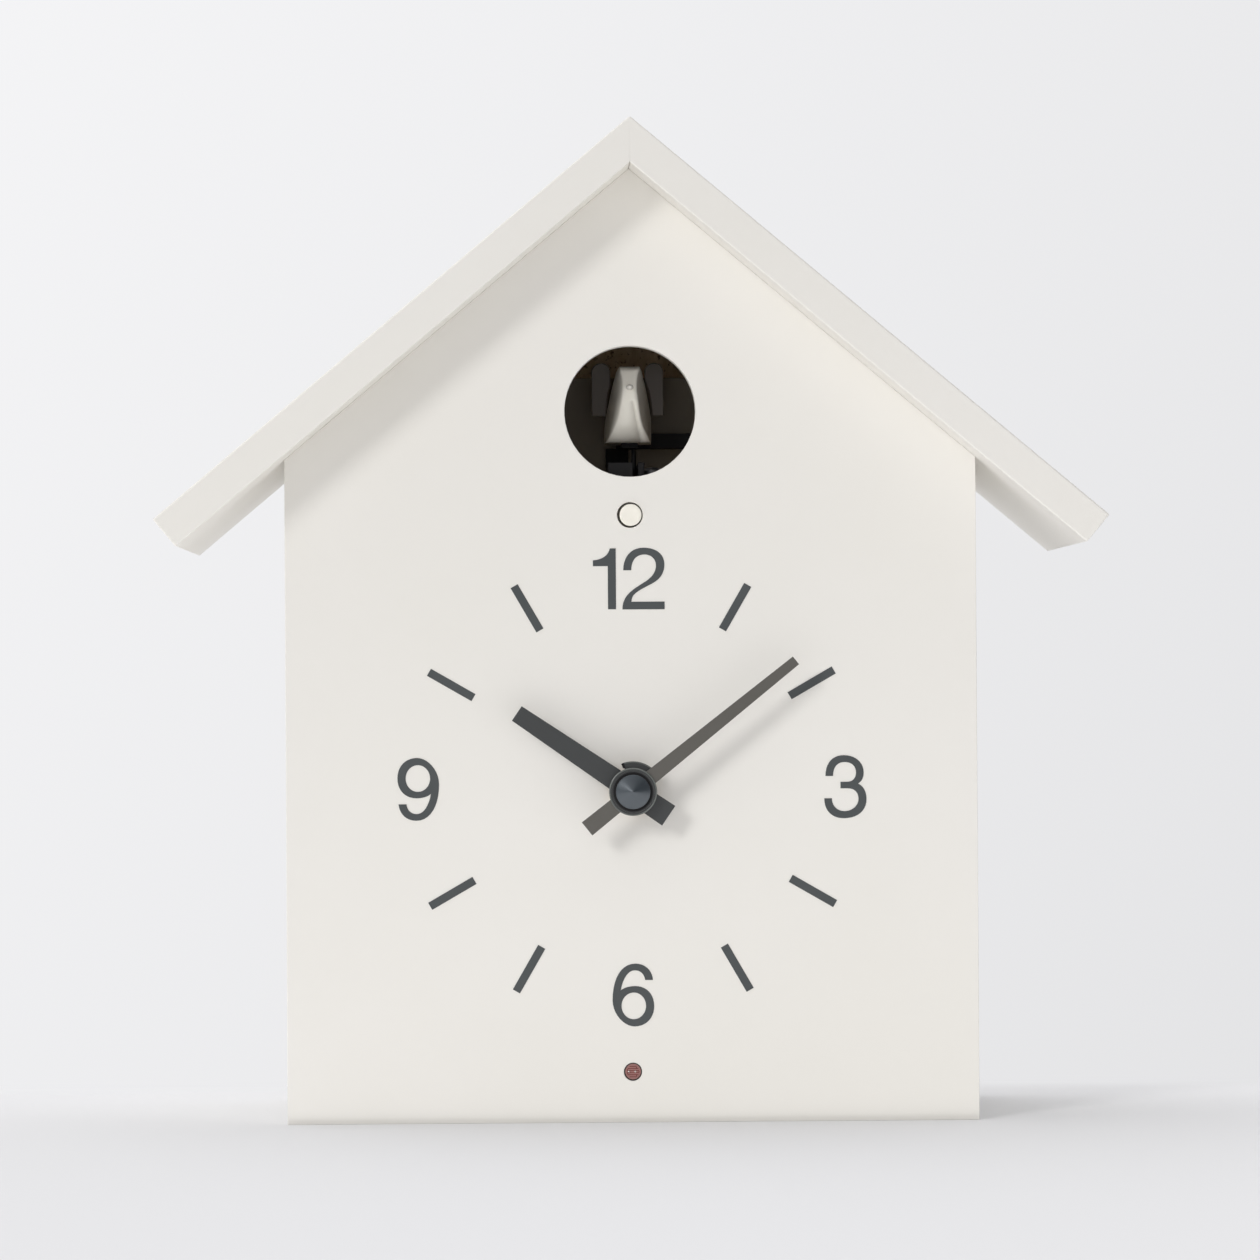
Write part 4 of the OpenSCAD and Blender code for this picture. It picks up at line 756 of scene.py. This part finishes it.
def make_bird():
    """Loft of the bird: softly turned left flank, flat strip with a crease, and a crisp right edge."""
    lo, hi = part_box("bird_body")
    tall = (hi.z - lo.z) / MM
    rows, bm = [], bmesh.new()
    for k in range(BIRD_ROWS):
        share = k / (BIRD_ROWS - 1)
        middle, strip, half, front, back = blend(BIRD_LEVELS, share)
        left, right = middle - strip, middle + strip
        span = (share - CREASE[1][0]) / (CREASE[0][0] - CREASE[1][0])
        crease = CREASE[1][1] + (CREASE[0][1] - CREASE[1][1]) * min(1, max(0, span))
        crease = min(crease, right - 0.3)
        depth = CREASE_DEPTH_MM * min(1, max(0, 1 - span) / 0.1)

        def flank(edge, side, out, slope):
            wide, reach = middle + side * half - edge, back - 3.6 - front
            tilt = min(slope * abs(wide), reach)
            return edge + wide * out, front + tilt * out + (reach - tilt) * out**2

        ring = [(middle - half * 0.6, back), (middle - half * 0.9, back - 1.2),
                (middle - half, back - 3.5)]
        ring += [flank(left, -1, u, LEFT_SLOPE) for u in FLANK_TURNS]
        ring += [(left, front), (left + (crease - left) * 0.5, front), (crease - 0.26, front),
                 (crease, front + depth), (crease + 0.06, front), (right, front)]
        ring += [flank(right, 1, u, RIGHT_SLOPE) for u in FLANK_TURNS[::-1]]
        ring += [(middle + half, back - 3.5), (middle + half * 0.9, back - 1.2),
                 (middle + half * 0.6, back)]
        rows.append([bm.verts.new((x * MM, lo.y + y * MM, lo.z + share * tall * MM)) for x, y in ring])
    for low, high in zip(rows, rows[1:]):
        for i in range(len(low)):
            j = (i + 1) % len(low)
            bm.faces.new((low[i], low[j], high[j], high[i]))
    bm.faces.new(rows[0][::-1])
    bm.faces.new(rows[-1])
    for face in bm.faces:
        face.smooth = True
    for edge in sharp_edges(bm, math.radians(24)):
        edge.smooth = False
    mesh = finished_mesh("bird_modelled", bm)
    add_object("bird_modelled", mesh, SLOT_OF["bird_body"], BODY_OF["bird_body"], "bird_body")


BEAK_ROWS, BEAK_SIDES = 9, 32


def make_beak():
    """Blunt glossy beak with an oval base."""
    lo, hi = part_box("bird_beak")
    middle = (lo + hi) / 2
    rows, bm = [], bmesh.new()
    for k in range(BEAK_ROWS):
        turn = math.radians(90 * k / (BEAK_ROWS - 1))
        wide, out = math.cos(turn) ** 0.8, math.sin(turn)
        if k == BEAK_ROWS - 1:
            rows.append([bm.verts.new((middle.x, lo.y, middle.z - 0.1 * MM))])
            continue
        rows.append([bm.verts.new((middle.x + (hi.x - lo.x) / 2 * wide * math.cos(a),
                                   hi.y + (lo.y - hi.y) * out,
                                   middle.z + (hi.z - lo.z) / 2 * wide * math.sin(a)))
                     for a in (2 * math.pi * i / BEAK_SIDES for i in range(BEAK_SIDES))])
    for low, high in zip(rows, rows[1:]):
        for i in range(BEAK_SIDES):
            j = (i + 1) % BEAK_SIDES
            bm.faces.new(list(dict.fromkeys((low[i], low[j], high[j % len(high)], high[i % len(high)]))))
    bm.faces.new(rows[0])
    bmesh.ops.recalc_face_normals(bm, faces=bm.faces)
    for face in bm.faces:
        face.smooth = True
    for edge in sharp_edges(bm, math.radians(40)):
        edge.smooth = False
    mesh = finished_mesh("beak_modelled", bm)
    add_object("beak_modelled", mesh, SLOT_OF["bird_beak"], BODY_OF["bird_beak"], "bird_beak")


def make_cuckoo():
    make_bird()
    make_beak()
    rounded_copy("bird_wings", 0.3, 3, material="wing_grey")
    rounded_copy("mechanism_cover", 0.15, 1, material="screen_grey")
    for node in ("guide_track", "rod_brackets", "bird_carriage", "carriage_arm", "bird_post"):
        rounded_copy(node, 0.15, 1, material="drive_black")
    rounded_copy("guide_rod", 0, material="dull_steel")
    for node in ("gear_post", "drive_motor", "motor_pinion", "drive_gear"):
        rounded_copy(node, 0)


# ---------- button and light sensor ----------

# Sensor's track, in mm: half length of each bar from the lowest up, their spacing, width and height
TRACK_BARS = (0.95, 1.45, 1.6, 1.6, 1.45, 0.95)
TRACK_PITCH, TRACK_W, TRACK_LIFT = 0.56, 0.24, 0.04
SOLDER_R = 0.28


def make_sensor_track():
    """Winding dark red track on the sensor's face, with two soldered ends at its middle height."""
    lo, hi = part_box("sensor_cell")
    centre = ((lo.x + hi.x) / 2, (lo.z + hi.z) / 2)
    slot, body = SLOT_OF["sensor_cell"], BODY_OF["sensor_cell"]
    bm = bmesh.new()

    def bar(x0, x1, z0, z1):
        box = bmesh.ops.create_cube(bm, size=1)["verts"]
        for v in box:
            v.co = Vector((centre[0] + (x0 + (v.co.x + 0.5) * (x1 - x0)) * MM,
                           lo.y - TRACK_LIFT * MM * (0.5 - v.co.y),
                           centre[1] + (z0 + (v.co.z + 0.5) * (z1 - z0)) * MM))

    half = TRACK_W / 2
    for i, wide in enumerate(TRACK_BARS):
        z = (i - (len(TRACK_BARS) - 1) / 2) * TRACK_PITCH
        bar(-wide, wide, z - half, z + half)
        if i + 1 < len(TRACK_BARS):
            end = min(wide, TRACK_BARS[i + 1]) * (-1 if i % 2 else 1)
            bar(end - half, end + half, z + half, z + TRACK_PITCH - half)
    mesh = finished_mesh("sensor_track", bm)
    mesh.materials.append(MATERIALS["sensor_red"])
    add_object("sensor_track", mesh, slot, body, "sensor_cell")
    for side, x in (("left", -1.1), ("right", 0.6)):
        r, back = SOLDER_R * MM, lo.y + 0.02 * MM
        dome = [(0, lo.y - r), *arc(0, lo.y, r, -78, -20, 4), (r, back), (0, back)]
        lathe_y("sensor_end_" + side, dome, (centre[0] + x * MM, centre[1]), slot, body, "sensor_cell",
                steps=20, material="sensor_tin")


def make_controls():
    """Push button and light sensor."""
    rounded_copy("button_cap", 0.2, 3)
    rounded_copy("button_switch", 0.1, 1)
    rounded_copy("button_spring", 0)
    rounded_copy("sensor_cell", 0.1, 2)
    make_sensor_track()
    rounded_copy("sensor_sleeve", 0.1, 2)


# ---------- electronics ----------

def make_electronics():
    for node in ("control_board", "board_parts", "board_standoffs", "mode_slider", "volume_wheel",
                 "speaker_frame", "battery_tray", "battery_contacts"):
        rounded_copy(node, 0.15, 1)
    for node in ("speaker_cone", "aa_cells", "wiring"):
        rounded_copy(node, 0)


make_camera()
make_stage()
make_lights()
make_case()
make_movement()
make_hands()
make_cuckoo()
make_controls()
make_electronics()
